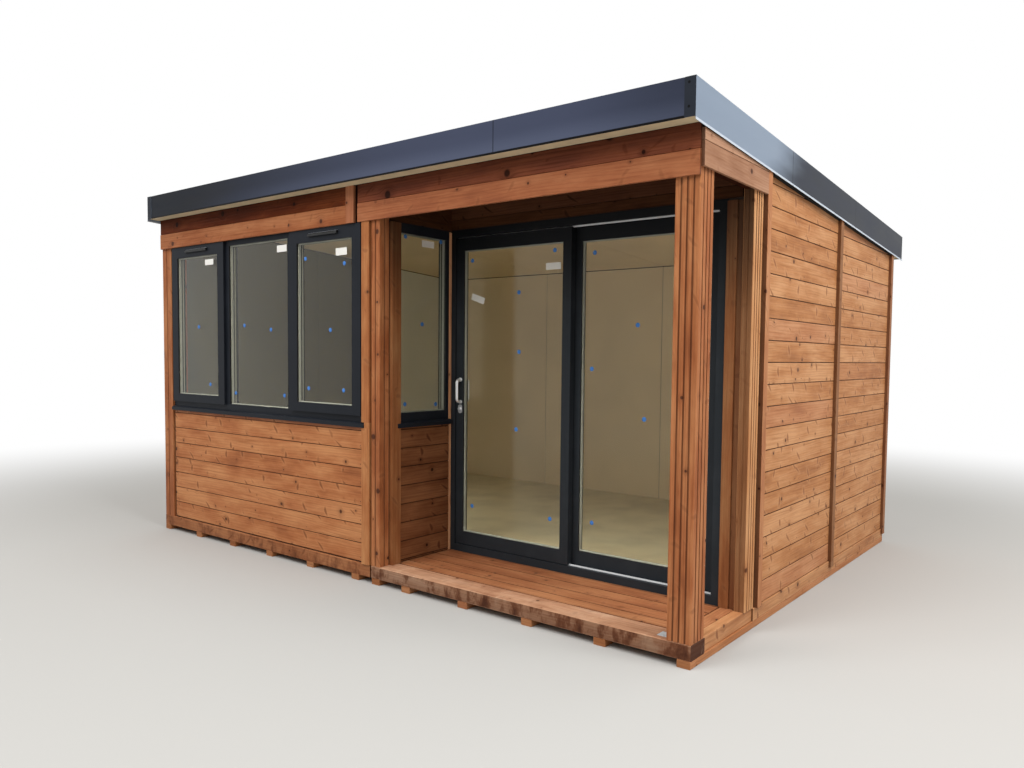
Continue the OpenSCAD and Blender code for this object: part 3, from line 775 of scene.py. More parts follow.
@dataclass(frozen=True)
class SatinProfile(Finish):
    """Grey window profile with a coated section's fine leather-like emboss, and painted shadow that darkens it towards
    a height in metres.
    """

    name: str
    colour: tuple = (35, 39, 46)
    roughness: float = 0.5
    dusk: Optional[float] = None

    def paint(self, board: NodeBoard) -> None:
        """Near-even grey with a fine emboss and slight dust."""
        place = board.place()
        cloud = board.noise(place, 5.0, 3.0, 0.6)
        rows = [(board.range(cloud, 0.38, 0.72, 0.0, 0.6), srgb(*(c + 9 for c in self.colour)))]
        # Painted shadow: the profile darkens towards the dusk height, as under the porch roof
        if self.dusk:
            rows.append((board.range(board.split(place)[2], self.dusk - 0.5, self.dusk, 0.0, 0.8), srgb(5, 5, 7)))
        rough = board.line(cloud, 0.3, 0.7, self.roughness - 0.04, self.roughness + 0.07)
        board.coat(board.layers(srgb(*self.colour), rows), rough, (board.noise(place, 620.0), 0.22, 0.0002),
                   Specular_IOR_Level=0.12)


@dataclass(frozen=True)
class PlainSheet(Finish):
    """A plain matt or satin material with a slight mottle: boards, gaskets, labels and pads."""

    name: str
    colour: tuple
    roughness: float = 0.6
    mottle: float = 0.3
    scale: float = 12.0
    metal: float = 0.0

    def paint(self, board: NodeBoard) -> None:
        """One colour, clouded by noise, with a fine grain in its bump."""
        place = board.place()
        cloud = board.noise(place, self.scale, 4.0, 0.6)
        deep = srgb(*(c * 0.8 for c in self.colour))
        colour = board.layers(srgb(*self.colour), [(board.range(cloud, 0.35, 0.75, 0.0, self.mottle), deep)])
        rough = board.line(cloud, 0.3, 0.7, self.roughness - 0.05, self.roughness + 0.06)
        board.coat(colour, rough, (board.noise(place, self.scale * 40.0), 0.2, 0.0002), Metallic=self.metal)


@dataclass(frozen=True)
class ClearGlass(Finish):
    """Window glass that mirrors and bends light, and lets the lamps reach what is behind it."""

    name: str
    tint: tuple = (250, 250, 245)
    gloss: float = 0.3
    index: float = 1.2

    def paint(self, board: NodeBoard) -> None:
        """Glass to the eye, and a clear tint to rays from the lamps."""
        glass = board.node("BsdfPrincipled", {
            "Base Color": srgb(*self.tint), "Roughness": 0.0, "IOR": self.index, "Transmission Weight": 1.0,
            "Specular IOR Level": self.gloss})
        clear = board.node("BsdfTransparent", {"Color": srgb(*self.tint)})
        board.ends(glass, clear, board.node("LightPath").outputs["Is Shadow Ray"])


class Palette:
    """The finishes of this pod: stains by base, light, dark and knot, sheets by colour, roughness and mottle."""

    cladding = StainedTimber("cladding_stain", (171, 105, 63), (196, 135, 88), (106, 56, 30))
    # A lighter copy of the cladding, as painted light for the lit side walls; the left and back walls share it
    side_cladding = StainedTimber("side_cladding_stain_painted_light", (182, 124, 78), (205, 152, 107), (124, 72, 40))
    # A darker copy of the cladding, as painted shade in the porch
    porch_cladding = StainedTimber("porch_cladding_stain_painted_shade", (116, 71, 44), (140, 92, 60), (62, 32, 18), (20, 8, 4),
                                   gloss=0.06)
    # Its dusk paints shadow under the porch roof on the shaded trims
    trim = StainedTimber("trim_stain", (170, 106, 62), (194, 138, 90), marks=0.6, dusk=2.08)
    # A lighter copy of the trim's stain, as painted light for the return's lit edge
    bead = StainedTimber("bead_stain_painted_light", (206, 146, 102), (222, 168, 124), marks=0.2)
    # A lighter copy like the side cladding, as painted light; the battens' fronts carry painted shade
    batten = StainedTimber("batten_stain_painted_light", (182, 124, 78), (204, 150, 104), (124, 72, 40), marks=0.6)
    # Darker than the cladding, in part as painted shade under the eaves
    header = StainedTimber("header_stain_painted_shade", (152, 88, 51), (174, 113, 73), (92, 44, 23), knot_size=1.5, marks=0.4)
    # A near-black copy of the header's stain, as painted shade under the eaves and in the porch
    eaves = StainedTimber("eaves_stain_painted_shade", (90, 38, 15), (118, 60, 30), (50, 19, 8), (26, 9, 4), knot_size=1.9,
                          marks=0.4, gloss=0.06)
    post = StainedTimber("post_stain", (160, 94, 55), (187, 125, 81), (96, 49, 26), rings=1.4, knot_size=1.6,
                         marks=0.5)
    # A lighter copy for the lit side of the porch's back post, as painted light; its front carries painted shade
    side_post = StainedTimber("side_post_stain_painted_light", (192, 134, 86), (212, 160, 112), (130, 74, 40), (74, 30, 10),
                              rings=1.4, marks=0.3, dusk=2.08)
    side_header = StainedTimber("side_header_stain", (165, 122, 94), (182, 140, 112), (118, 72, 46), knot_size=1.5,
                                marks=0.4)
    sill = StainedTimber("rough_sill_stain", (186, 144, 110), (210, 176, 146), (108, 58, 31), (62, 30, 16),
                         weathered=0.8, roughness=0.7, end_dark=0.95, marks=0.3)
    skirting = StainedTimber("skirting_stain", (152, 94, 58), (176, 118, 78), weathered=0.5, roughness=0.7)
    side_plinth = StainedTimber("side_plinth_stain", (176, 120, 78), (196, 144, 100), knot_size=1.5)
    deck = StainedTimber("deck_stain", (150, 93, 59), (176, 120, 81), (92, 47, 28), rings=1.5, marks=0.4)
    bearer = StainedTimber("bearer_stain", (166, 106, 64), (186, 128, 86), knots=0.6, marks=0.3, end_dark=0.2)
    frame_x = StainedTimber("hidden_frame_x", (120, 78, 48), mapped=False)
    # Painted sheen, paler to the right and at the foot, with a dark line of painted shade along the foot
    front_metal = CoatedMetal("front_trim_coat_painted_sheen", (13, 16, 22), (20, 24, 32), hem=2.3462, joints=(1149.0,))
    # Painted reflection, paler towards the front, with a painted highlight along the drip edge
    side_metal = CoatedMetal("side_trim_coat_painted_reflection", (36, 40, 48), (48, 52, 62), front=(130, 143, 160), drip=True,
                             joints=(-609.0, 519.0))
    back_metal = CoatedMetal("back_trim_coat", (38, 42, 50), (50, 55, 66))
    profile = SatinProfile("window_profile_grey", (25, 28, 34))
    # Painted shadow: darker towards the top, as under the porch roof
    door_profile = SatinProfile("door_profile_grey_painted_shadow", (40, 44, 48), dusk=2.08)
    glass = ClearGlass("sealed_unit_glass")
    spacer = PlainSheet("spacer_bar", (158, 158, 148), 0.4, 0.1)
    gasket = PlainSheet("glazing_gasket", (14, 14, 15), 0.55, 0.1)
    # Painted reflection: the pale lining is raised and the left lining is dark olive, for what the glass mirrors
    lining = PlainSheet("room_lining_pale_painted_reflection", (246, 224, 190), 0.6, 0.25, scale=1.5)
    white_lining = PlainSheet("room_lining_white", (236, 240, 242), 0.6, 0.2, scale=1.5)
    left_lining = PlainSheet("room_lining_left_painted_reflection", (104, 97, 66), 0.6, 0.25, scale=1.5)
    floor = PlainSheet("room_floor_pale", (236, 224, 196), 0.5, 0.5, scale=3.0)
    soffit = PlainSheet("soffit_board_pale", (214, 196, 160), 0.7, 0.5, scale=6.0)
    membrane = PlainSheet("roof_membrane_black", (44, 46, 49), 0.75, 0.5, scale=4.0)
    chrome = PlainSheet("handle_chrome", (232, 233, 235), 0.18, 0.05, metal=0.55)
    track = PlainSheet("track_rib_bare", (226, 228, 230), 0.35, 0.1)
    galvanised = PlainSheet("galvanised_plate", (196, 200, 202), 0.4, 0.6, scale=60.0)
    black = PlainSheet("vent_black", (7, 8, 9), 0.55, 0.1)
    # A painted highlight along each vent hood's top edge
    highlight_lip = PlainSheet("vent_lip_painted_highlight", (176, 180, 186), 0.35, 0.1)
    label = PlainSheet("blank_label", (238, 236, 230), 0.5, 0.05)
    pad = PlainSheet("blue_pad", (64, 122, 196), 0.6, 0.1)
    nail = PlainSheet("nail_steel", (54, 34, 24), 0.5, 0.2)
    # Near-black strips behind the side trims, as painted shadow
    recess = PlainSheet("recess_painted_shadow", (10, 8, 7), 0.9, 0.2)
    # Near-black brown for the wall frames, as painted shade where they show in recesses
    wall = PlainSheet("wall_frame_painted_shade", (40, 27, 19), 0.85, 0.4)


def finish_nodes(finish: Finish, *nodes: str) -> None:
    """Gives carried-over parts their finish.

    Args:
        finish: The finish.
        nodes: Names of the parts.
    """
    for node in nodes:
        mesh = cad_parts[node].data
        mesh.materials.clear()
        mesh.materials.append(finish.material())
        log.info("%s: finished as %s", node, finish.name)


@dataclass
class Cladding:
    """Shiplap boards in front of the wall frames, nailed at the studs."""

    cover: float = 112.0
    thick: float = 12.0
    wave: float = 0.7
    least_course: float = 8.0
    least_length: float = 20.0
    station: float = 160.0
    nail_up: float = 26.0
    least_nailed: float = 60.0
    draws: Draws = seeded(11)
    nails: Turned = field(default_factory=lambda: Turned("cladding_nails", ((1.6, 0.6), (2.7, 0.3), (2.9, -1.4))))

    def courses(self, stock: Stock, origin: Floats, length: float, face: tuple, low: float, high: float,
                line: float, studs: Floats = (), roofed: bool = False, shade: float = 0.0) -> None:
        """Stacks boards up a wall.

        Args:
            stock: Where the boards go.
            origin: Start of the wall's frame plane.
            length: Length of the boards.
            face: Direction of the boards and direction out of the wall.
            low: Foot of the lowest board.
            high: Top of the highest board.
            line: Height of a joint line; the others lie whole courses from it.
            studs: How far along the boards the nails stand.
            roofed: True where the boards run along Y and their tops follow the roof.
            shade: Least shade all over the boards.
        """
        run, out = face
        start = np.asarray(origin, float)
        lines = line + self.cover * np.arange(-2, 24)
        edges = [low] + [z for z in lines if low + self.least_course < z < high - self.least_course] + [high]
        for z0, z1 in zip(edges[:-1], edges[1:]):
            board = length
            if roofed:
                board = min((ROOF.boards(0.0) - (z0 + 6.0)) / ROOF.slope, start[1] + length) - start[1]
                if board <= self.least_length:
                    continue
            stock.member(shiplap_section(z1 - z0, self.thick), start + Z * z0, board, (run, Z, out),
                         max(3, int(board // self.station)), UNDER_TRIM if roofed else None, wave=self.wave,
                         shade=shade)
            spots = [start + run * s + Z * (z0 + self.nail_up) + out * self.thick for s in studs
                     if s < board - 15 and z1 - z0 > self.least_nailed]
            spots = [s for s in spots if not roofed or s[2] < ROOF.boards(s[1]) - 12]
            if spots:
                self.nails.add(spots, out)

    def build(self) -> None:
        """Builds the boards of every wall."""
        sides = ((129, 735), (735, 1908), (1908, 3138))
        rear_top = float(ROOF.soffit(3150.0)) - 1
        for name, finish, walls in (
                ("front", Palette.cladding, [((146, 18, 0), 2136, FRONT, 113.6, 919.0, 113.6,
                                              (22, 544, 1068, 1592, 2114))]),
                ("right", Palette.side_cladding, [
                    ((4416, y0, 0), y1 - y0, RIGHT, 101.0, 2400.0, 100.8, (48, 574, y1 - y0 - 70), True)
                    for y0, y1 in sides[1:]]),
                ("left", Palette.side_cladding, [
                    ((18, y0, 0), y1 - y0, LEFT, 101.0, 2400.0, 100.8, (48, 574, y1 - y0 - 70), True)
                    for y0, y1 in sides]),
                ("back", Palette.side_cladding, [
                    ((x0, 3132, 0), x1 - x0, REAR, 101.0, rear_top, 100.8, (60, 500, 980, x1 - x0 - 60))
                    for x0, x1 in ((12, 1492), (1492, 2942), (2942, 4422))]),
                # The porch's boards carry painted shade, most on the courses above the return window and over the door
                ("porch", Palette.porch_cladding, [
                    ((2428, 150, 0), 418, RIGHT, 109.0, 918.0, 120.7, (20, 398)),
                    ((2428, 80, 0), 509, RIGHT, 2127.0, 2300.0, 2160.0, (), False, 0.9),
                    ((2441, 595, 0), 1929, FRONT, 2134.0, 2302.0, 2190.0, (), False, 0.9)])):
            stock = Stock(f"{name}_cladding", self.draws)
            for wall in walls:
                self.courses(stock, *wall)
            stock.build(finish)
        self.nails.build(Palette.nail, Slot.TRACK)


def bar(box: Floats, axes: tuple = ACROSS, ease: float = 1.5, front: Floats = (),
        **rest: object) -> dict:
    """A board along an axis of the frame.

    Args:
        box: X0, X1, Y0, Y1, Z0 and Z1.
        axes: UP, ACROSS or BACK.
        ease: Leg of its eased corners.
        front: Shade of its front, or of even bands of a level board's front from the top down.
        rest: Other values that Stock.member takes.

    Returns:
        What Stock.member takes.
    """
    low, high = np.asarray(box, float).reshape(3, 2).T
    length, width, height = (float(axis @ (high - low)) for axis in axes)
    if axes is ACROSS and front:
        section, stations = banded_rectangle(width, height, front, ease), 11
    else:
        section = eased_rectangle(width, height, ease, front)
        stations = 8 if axes is UP else max(3, int(length // 200))
    return {"section": section, "stations": stations, "origin": low, "length": length, "axes": axes, **rest}


@dataclass
class Timberwork:
    """Posts, trims, battens, headers, sills and bearers: timber shaped as in the parts, with its grain."""

    body_w: float = 4434.0
    body_d: float = 3150.0
    head: float = 2121.0
    deck: float = 108.0
    foot: float = 35.0
    plinth: float = 101.0
    post_x: float = 2361.0
    batten: float = 50.0
    sunk: float = 18.0
    proud: float = 15.0
    over: float = 2300.0
    draws: Draws = seeded(29)

    def pile(self, name: str, members: Sequence[dict], finish: Finish, *nodes: str,
             slot: Slot = Slot.STAINED) -> None:
        """Builds one piece of members, which stands for nodes."""
        Stock(name, self.draws).fill(members).build(finish, slot, nodes=nodes)

    def posts(self) -> None:
        """Fluted posts, each cut to the roof's fall at its head."""
        left, right, inner, back = (
            bar((x, x + w, y, y + d, z, z + 2200), UP, section=fluted_section(w, d, pitch, shade), stations=14,
                shape=TO_ROOF)
            for x, y, w, d, z, pitch, shade in (
                (0, 0, 120, 128, self.deck, 45.0, 0.1), (self.body_w - 120, 0, 120, 128, self.deck, 27.0, 0.0),
                (self.post_x, 0, 73, 73, self.deck, 27.0, 0.0),
                # The porch's back post carries painted shade on its front
                (self.body_w - 56, 577, 56, 110, 105.0, 27.0, 0.72)))
        self.pile("fluted_posts", (left, right, inner), Palette.post, "corner_posts", "return_post")
        self.pile("porch_back_post", (back,), Palette.side_post, "wall_post")

    def trims(self) -> None:
        """Flat trims beside the posts."""
        deck, head = self.deck, self.head
        # In the porch, the return trim, the board beside the door and the strip in the door side's recess carry painted
        # shade, the strip most
        self.pile("flat_trims", [bar(box, UP, shade=shade) for box, shade in (
            ((2284, 2350, -9, 18, deck, 919), 0.0), ((2308, 2350, -9, 18, 919, 952), 0.0),
            ((2284, 2350, -9, 18, 952, head), 0.0), ((2428, 2455, 78, 148, deck, head), 0.44),
            ((4293, 4345, 579, 595, deck, head), 0.5), ((4345.6, 4377.4, 590, 594.6, deck + 1, head), 0.8))],
            Palette.trim, "corner_trims")
        # The return's bead is lighter as painted light
        self.pile("return_bead", [bar((2428, 2440, 568, 589, deck, head), UP, tone=1.0)], Palette.bead)

    def battens(self) -> None:
        """Cover battens on the side and back walls; some lap over the plinth with their outer part."""
        sides, width, sunk, proud = [], self.body_w, self.sunk, self.proud
        for y, lap, deep in ((710.0, 0.0, 0.0), (1883.0, 36.0, 0.66), (3100.0, 36.0, 0.5)):
            for x0, x1, out0, out1 in ((width - sunk, width + proud, width, width + proud), (-proud, sunk, -proud, 0)):
                # Painted shade on each batten's front side, darkest on the laps
                sides.append(bar((x0, x1, y, y + self.batten, self.plinth, self.over), UP,
                                 front=(0.75 + 0.25 * deep,), shade=deep, shape=TO_ROOF))
                if lap:
                    sides.append(bar((out0, out1, y, y + self.batten, self.plinth - lap, self.plinth), UP,
                                     front=(0.9,), shade=deep))
        self.pile("side_cover_battens", sides, Palette.batten, "side_battens")
        self.pile("back_cover_battens", [
            bar((x, x + self.batten, self.body_d - sunk, self.body_d + proud, self.plinth, self.over), UP,
                shape=TO_ROOF)
            for x in sunk + (width - 2 * sunk - self.batten) * np.arange(4) / 3], Palette.batten, "back_battens")

    def headers(self) -> None:
        """Header boards over the window, the porch and the porch's open side, and the beams behind them."""
        head, board_top, top, out = self.head, 2228, float(ROOF.soffit(-self.proud)), -self.proud
        left, right = (0, 2154), (2257, self.body_w)
        self.pile("header_boards", [
            bar((*left, out, 0, head, board_top)), bar((2154, 2226, -18, 0, head, top), UP, shade=0.1),
            bar((*right, out, 0, head, board_top))], Palette.header, "front_header")
        # The eaves boards carry painted shade, in bands darker towards the top, and the board behind the header darker
        # still
        upper = Stock("eaves_boards", self.draws).fill([
            *(bar((*half, -12, 0, board_top + 2, top), front=(0.5, 0.3, 0.12, 0.0)) for half in (left, right)),
            bar((120, 2226, 0, 18, 2130, top), shade=0.7)])
        self.pile("side_header_boards", [
            bar((self.body_w, self.body_w + self.proud, 0, 710, *heights), BACK, shape=UNDER_TRIM)
            for heights in ((2157, 2263), (2265, 2320))], Palette.side_header, "side_header")
        upper.build(Palette.eaves)
        # The porch beams carry painted shade
        self.pile("porch_beams", [
            bar((2434, 4314, 0, 45, 2133, float(ROOF.under(45.0)) - 0.3), shade=0.85),
            bar((4389, self.body_w, 128, 577, 2165, 2320), BACK, shade=0.85, shape=UNDER_ROOF)],
            Palette.eaves, "porch_front_beam", "porch_side_beam")

    def base(self) -> None:
        """Bearers, sill, skirting, plinth boards and the corner post's foot plate."""
        width, depth, foot, deck, plinth = self.body_w, self.body_d, self.foot, self.deck, self.plinth
        self.pile("bearer_timbers", [
            bar((x, x + 66, 0, depth, 0, foot), BACK, 2.0) for x in [*(436.8 * np.arange(11)), 2367.5]],
            Palette.bearer, "bearers", slot=Slot.BEARER)
        # The sill's front is darker than its top by bands of painted shade, and its weathering lies only on the front
        self.pile("porch_sill", [bar((self.post_x, width, 0, 138, foot, deck), ease=4.0, front=(0.52, 0.62, 0.64))],
                  Palette.sill, "front_sill", slot=Slot.ROUGH)
        self.pile("post_foot_plate", [bar((4252, 4313, 29, 85, deck + 0.05, deck + 2.05), ease=0.4, stations=2)],
                  Palette.galvanised, slot=Slot.TRACK)
        self.pile("front_skirting", [bar((0, 2350, 0, 22, foot, deck), ease=2.0, front=(0.2,))], Palette.skirting,
                  slot=Slot.ROUGH)
        self.pile("plinth_timbers", [
            bar((0, 22, 22, depth, foot, plinth), BACK, 2.0),
            bar((width - 22, width, 687, depth, foot, plinth), BACK, 2.0),
            bar((4372, 4426, 138, 685, foot, 105), BACK, 3.0),
            bar((22, width - 22, depth - 22, depth, foot, plinth), ease=2.0)],
            Palette.side_plinth, "plinth_boards", slot=Slot.ROUGH)

    def decking(self) -> None:
        """Porch deck boards parallel to the front, clean over dark edges, and the open side's edge board."""
        edges, gap, foot, thick = (139.0, 229.0, 338.0, 458.0, 578.0, 595.0), 6.0, 92.5, 15.0
        shades = (1.0, 1.0, 1.0, 0.7, 0.0, 0.7, 1.0, 1.0)
        self.pile("deck_boards", [
            *(bar((2430, 4297, y0 + gap, y1, foot, foot + thick), stations=9,
                  section=eased_rectangle(y1 - y0 - gap, thick, 3.0, shades)) for y0, y1 in zip(edges, edges[1:])),
            bar((4301, 4371, 141, 594, foot, foot + thick), BACK, 3.0),
            bar((self.post_x, 4371, 139, 595, 80, 92), ease=1.0, shade=1.0)],
            Palette.deck, "porch_deck", slot=Slot.DECK)

    def build(self) -> None:
        """Builds all the timberwork."""
        for part in (self.posts, self.trims, self.battens, self.headers, self.base, self.decking):
            part()


@dataclass(frozen=True)
class Pane:
    """One sealed unit: its lower corner, its size, and the directions of its width and out of its face."""

    origin: tuple
    width: float
    height: float
    face: tuple = FRONT
    reveal: float = 9.0
    behind: float = 27.0
    depth: float = 24.0

    def ring(self, stock: Stock, width: float, low: float, high: float) -> None:
        """Lays four bars round the pane's edge.

        Args:
            stock: Where they go.
            width: Width of a bar, inwards from the edge.
            low: Nearest place of the bars behind the face.
            high: Furthest place of the bars behind the face.
        """
        run, out = self.face
        start = np.array(self.origin, float) - out * high
        section = eased_rectangle(width, high - low, 0.4)
        for z in (0.0, self.height - width):
            stock.member(section, start + Z * z, self.width, (run, Z, out))
        for x in (0.0, self.width - width):
            stock.member(section, start + run * x + Z * width, self.height - 2 * width, (Z, run, out))


@dataclass
class Glazing:
    """Sealed units made of two panes with a spacer bar between them, with gaskets and inner beads."""

    name: str
    panes: tuple
    body: str = POD
    sheet: float = 4.0
    bar: float = 7.0
    seal: float = 1.6
    back_seal: float = 4.0
    bead: float = 5.0
    tape: float = 1.2
    shallow: float = 20.0

    def build(self) -> None:
        """Builds the panes, the spacer bars, the gaskets, and the beads where the frame is deep enough."""
        draws = Draws(5)
        glass, spacer, gasket = (Stock(f"{self.name}_{kind}", draws) for kind in ("panes", "spacers", "gaskets"))
        for pane in self.panes:
            run, out = pane.face
            for back in (self.sheet, pane.depth):
                glass.member(plain_section(pane.width, self.sheet), pane.origin - out * back, pane.height,
                             (Z, run, out))
            pane.ring(spacer, self.bar, self.sheet + FIT, pane.depth - self.sheet - FIT)
            pane.ring(gasket, self.seal, 0.8 - pane.reveal, -FIT)
            pane.ring(gasket, self.back_seal, pane.depth + FIT, pane.depth + 7.6)
            if pane.behind > self.shallow:
                pane.ring(spacer, self.bead, pane.depth + 8.0, pane.depth + 17.0)
                pane.ring(gasket, self.tape, pane.depth + 17.0 + FIT, pane.depth + pane.behind - 1.0)
        glass.build(Palette.glass, Slot.GLASS, self.body, (f"{self.name}_glass",))
        spacer.build(Palette.spacer, Slot.TRACK, self.body)
        gasket.build(Palette.gasket, Slot.BLACK, self.body)


@dataclass
class GlassMarks:
    """Blank labels and small blue pads that stand on the panes' outer faces."""

    name: str
    body: str = POD
    thick: float = 0.5
    draws: Draws = seeded(7)

    def build(self, labels: Sequence[tuple], pads: Sequence[tuple]) -> None:
        """Builds them.

        Args:
            labels: Rows of the lower corner, the width, the height, the turn in degrees and the face.
            pads: Rows of a place and the face.
        """
        if labels:
            stock = Stock(f"{self.name}_labels", self.draws)
            for corner, width, height, turn, (run, out) in labels:
                c, s = math.cos(math.radians(turn)), math.sin(math.radians(turn))
                stock.member(eased_rectangle(height, self.thick, 0.15), corner, width,
                             (run * c + Z * s, Z * c - run * s, out))
            stock.build(Palette.label, Slot.LINING, self.body)
        spots = Turned(f"{self.name}_pads", ((5.0, 3.0), (11.0, 2.2), (13.5, 0.1)), sides=12)
        for place, (_, out) in pads:
            spots.add([place], out)
        spots.build(Palette.pad, Slot.BLACK, self.body)


@dataclass
class Windows:
    """The front window, the narrow side window, and their small fittings."""

    draws: Draws = seeded(31)

    def vents(self) -> None:
        """Black hoods over the vents in the casement heads, each with a pale lip strip that is a painted highlight."""
        hoods, highlight_lips = Stock("vent_hoods", self.draws), Stock("vent_highlight_lips", self.draws)
        hood, highlight_lip = (np.array([[*point, 0] for point in outline], float) for outline in (
            ((0, 0), (0, 20), (-5, 19.5), (-9.5, 17.5), (-12.6, 13), (-13.8, 7), (-13.4, 1.5), (-11.5, 0)),
            ((0, 20.2), (0, 21.6), (-5.6, 21.1), (-5, 19.9))))
        for x in (345.0, 1787.0):
            hoods.member(hood, (x, -4, 2073), 280, ACROSS, 3)
            highlight_lips.member(highlight_lip, (x + 1, -4, 2073), 278, ACROSS, 3)
        hoods.build(Palette.black, Slot.BLACK, nodes=("trickle_vents",))
        highlight_lips.build(Palette.highlight_lip, Slot.BLACK)

    def build(self) -> None:
        """Builds the glazing, the vents and the marks, and finishes the frames."""
        # The faces of the casements' glass, the middle glass and the narrow window's glass, with the marks' gap
        casement, middle, side = 4.9, 22.9, 2422.1
        Glazing("front_window", (
            Pane((219, 5, 1044), 532, 998), Pane((871.5, 23, 994), 669, 1096, behind=37.0),
            Pane((1661, 5, 1044), 532, 998))).build()
        Glazing("side_window", (Pane((2422, 148, 1005), 396, 1066, RIGHT, reveal=14.0, behind=32.0),)).build()
        GlassMarks("window").build(
            labels=[((582, casement, 1971), 108, 40, 0, FRONT), ((1416, middle, 2007), 105, 44, 0, FRONT),
                    ((2036, casement, 1943), 103, 44, 0, FRONT), ((side, 345, 2008), 103, 40, 0, RIGHT)],
            pads=[*(((x, y, z), FRONT) for x, y, z in (
                (492, casement, 1535), (636, casement, 1124), (1039, middle, 1538), (1344, middle, 1507),
                (929, middle, 1073), (1489, middle, 1077), (1740, casement, 1943), (2116, casement, 1893),
                (1983, casement, 1497), (1768, casement, 1134), (2107, casement, 1133))),
                *(((side, y, z), RIGHT) for y, z in (
                    (210, 2052), (508, 2056), (349, 1539), (208, 1056), (468, 1046)))])
        self.vents()
        finish_nodes(Palette.profile, "front_window_frame", "casements", "side_window_frame", "window_cills")


@dataclass
class PatioDoor:
    """The sliding door: frame, tracks, two panels, glazing and pulls."""

    low: float = 237.0
    tall: float = 1767.0
    outer: float = 605.0
    inner: float = 653.0
    gap: float = 0.1

    def build(self) -> None:
        """Builds the glazing and finishes the door's parts."""
        for name, x, y, width, body in (("sliding_panel", 2536, self.outer, 761, DOOR),
                                        ("fixed_panel", 3394, self.inner, 796, POD)):
            Glazing(name, (Pane((x, y, self.low), width, self.tall, reveal=8.0, behind=8.0),), body).build()
        outer, inner = self.outer - self.gap, self.inner - self.gap
        GlassMarks("sliding_panel", DOOR).build(
            labels=[((2591, outer, 1700), 108, 40, -18, FRONT), ((3171, outer, 1850), 106, 40, 0, FRONT)],
            pads=[((x, outer, z), FRONT) for x, z in ((2600, 1939), (2972, 1730), (2977, 1377), (2960, 913),
                                                      (2610, 407), (3220, 406), (3233, 1960))])
        GlassMarks("fixed_panel").build(labels=[], pads=[((x, inner, z), FRONT) for x, z in (
            (3475, 1934), (3759, 1527), (3466, 1285), (3809, 1019), (3481, 411))])
        finish_nodes(Palette.door_profile, "door_frame", "fixed_panel", "sliding_panel")
        finish_nodes(Palette.track, "door_tracks")
        finish_nodes(Palette.chrome, "pull_handles", "door_lock")


@dataclass
class RoofEdge:
    """The metal edge trim, the membrane, the soffit, and dark strips behind the side trims' foot that paint the shadow
    there.
    """

    shadow_strip_thick: float = 5.0
    shadow_strip_tall: float = 20.6
    draws: Draws = seeded(41)

    def build(self) -> None:
        """Finishes the roof's parts and adds the dark strips of painted shadow."""
        strips = Stock("verge_shadow_strips", self.draws)
        for x in (4434.3, -5.3):
            strips.member(plain_section(self.shadow_strip_thick, self.shadow_strip_tall), (x, 1, 0), 3147, BACK, 20, AS_VERGE)
        strips.build(Palette.recess, Slot.MEMBRANE)
        finish_nodes(Palette.front_metal, "front_fascia")
        finish_nodes(Palette.side_metal, "side_fascias")
        finish_nodes(Palette.back_metal, "back_fascia")
        finish_nodes(Palette.membrane, "roof_panel")
        finish_nodes(Palette.soffit, "soffit_boards")


@dataclass
class Room:
    """Inside of the room: lining boards with thin joints, in colours that are partly painted reflection, and the floor.
    """

    joint: float = 4.0
    thick: float = 4.0
    ceiling_thick: float = 8.0
    board: float = 1250.0
    floor: float = 121.0
    tall: float = 2000.0
    ease: float = 0.6
    draws: Draws = seeded(3)

    def boards(self, length: float) -> list[tuple[float, float]]:
        """Starts and widths of the boards that cover a length."""
        starts = np.arange(0.0, length, self.board)
        return [(float(s), float(min(self.board, length - s))) for s in starts if length - s > 20]

    def wall(self, stock: Stock, x: float, y: float, length: float, face: tuple) -> None:
        """Lines one wall with upright boards.

        Args:
            stock: Where the boards go.
            x: Start of the wall's inner face on X.
            y: Start of the wall's inner face on Y.
            length: Length of the wall.
            face: Direction along the wall and direction into the room.
        """
        for s, width in self.boards(length):
            stock.member(eased_rectangle(width - self.joint, self.thick, self.ease),
                         (x, y, self.floor) + face[0] * s, self.tall, (Z, *face), shape=TO_CEILING)

    def ceiling(self, stock: Stock, x0: float, x1: float, y0: float, y1: float) -> None:
        """Lines the roof's underside over a rectangle, board by board along X.

        Args:
            stock: Where the boards go.
            x0: Start on X.
            x1: End on X.
            y0: Start on Y.
            y1: End on Y.
        """
        for s, width in self.boards(x1 - x0):
            stock.member(eased_rectangle(width - self.joint, self.ceiling_thick, self.ease), (x0 + s, y0, 0),
                         y1 - y0, BACK, 3, AS_CEILING)

    def build(self) -> None:
        """Builds the lining and finishes the wall frames and the floor."""
        pale, left, white = (Stock(name, self.draws) for name in (
            "room_lining", "left_wall_lining", "left_wall_back_lining"))
        self.wall(pale, 100, 3052, 4236, FRONT)
        self.wall(pale, 4336, 688, 2360, LEFT)
        self.ceiling(pale, 104, 2360, 100, 674)
        self.ceiling(pale, 104, 4330, 676, 3046)
        for reveal in (Pane((131, 84, 951), 2150, 1179), Pane((2366, 122, 950), 446, 1176, RIGHT)):
            reveal.ring(pale, 3.0, 0.5, 15.0)
        # Painted reflection: the left wall's front part is dark olive, and the back wall, right wall and ceiling are a
        # raised pale
        self.wall(left, 98, 100, 1750, RIGHT)
        self.wall(white, 98, 1850, 1196, RIGHT)
        for stock, finish in ((pale, Palette.lining), (left, Palette.left_lining), (white, Palette.white_lining)):
            stock.build(finish, Slot.LINING)
        # The wall frames are near-black as painted shade in the recesses where they show
        finish_nodes(Palette.wall, "front_wall", "left_wall", "back_wall", "right_wall", "return_wall",
                     "door_header", "door_side_wall")
        finish_nodes(Palette.floor, "room_floor")
        finish_nodes(Palette.frame_x, "floor_frame", "deck_joists")


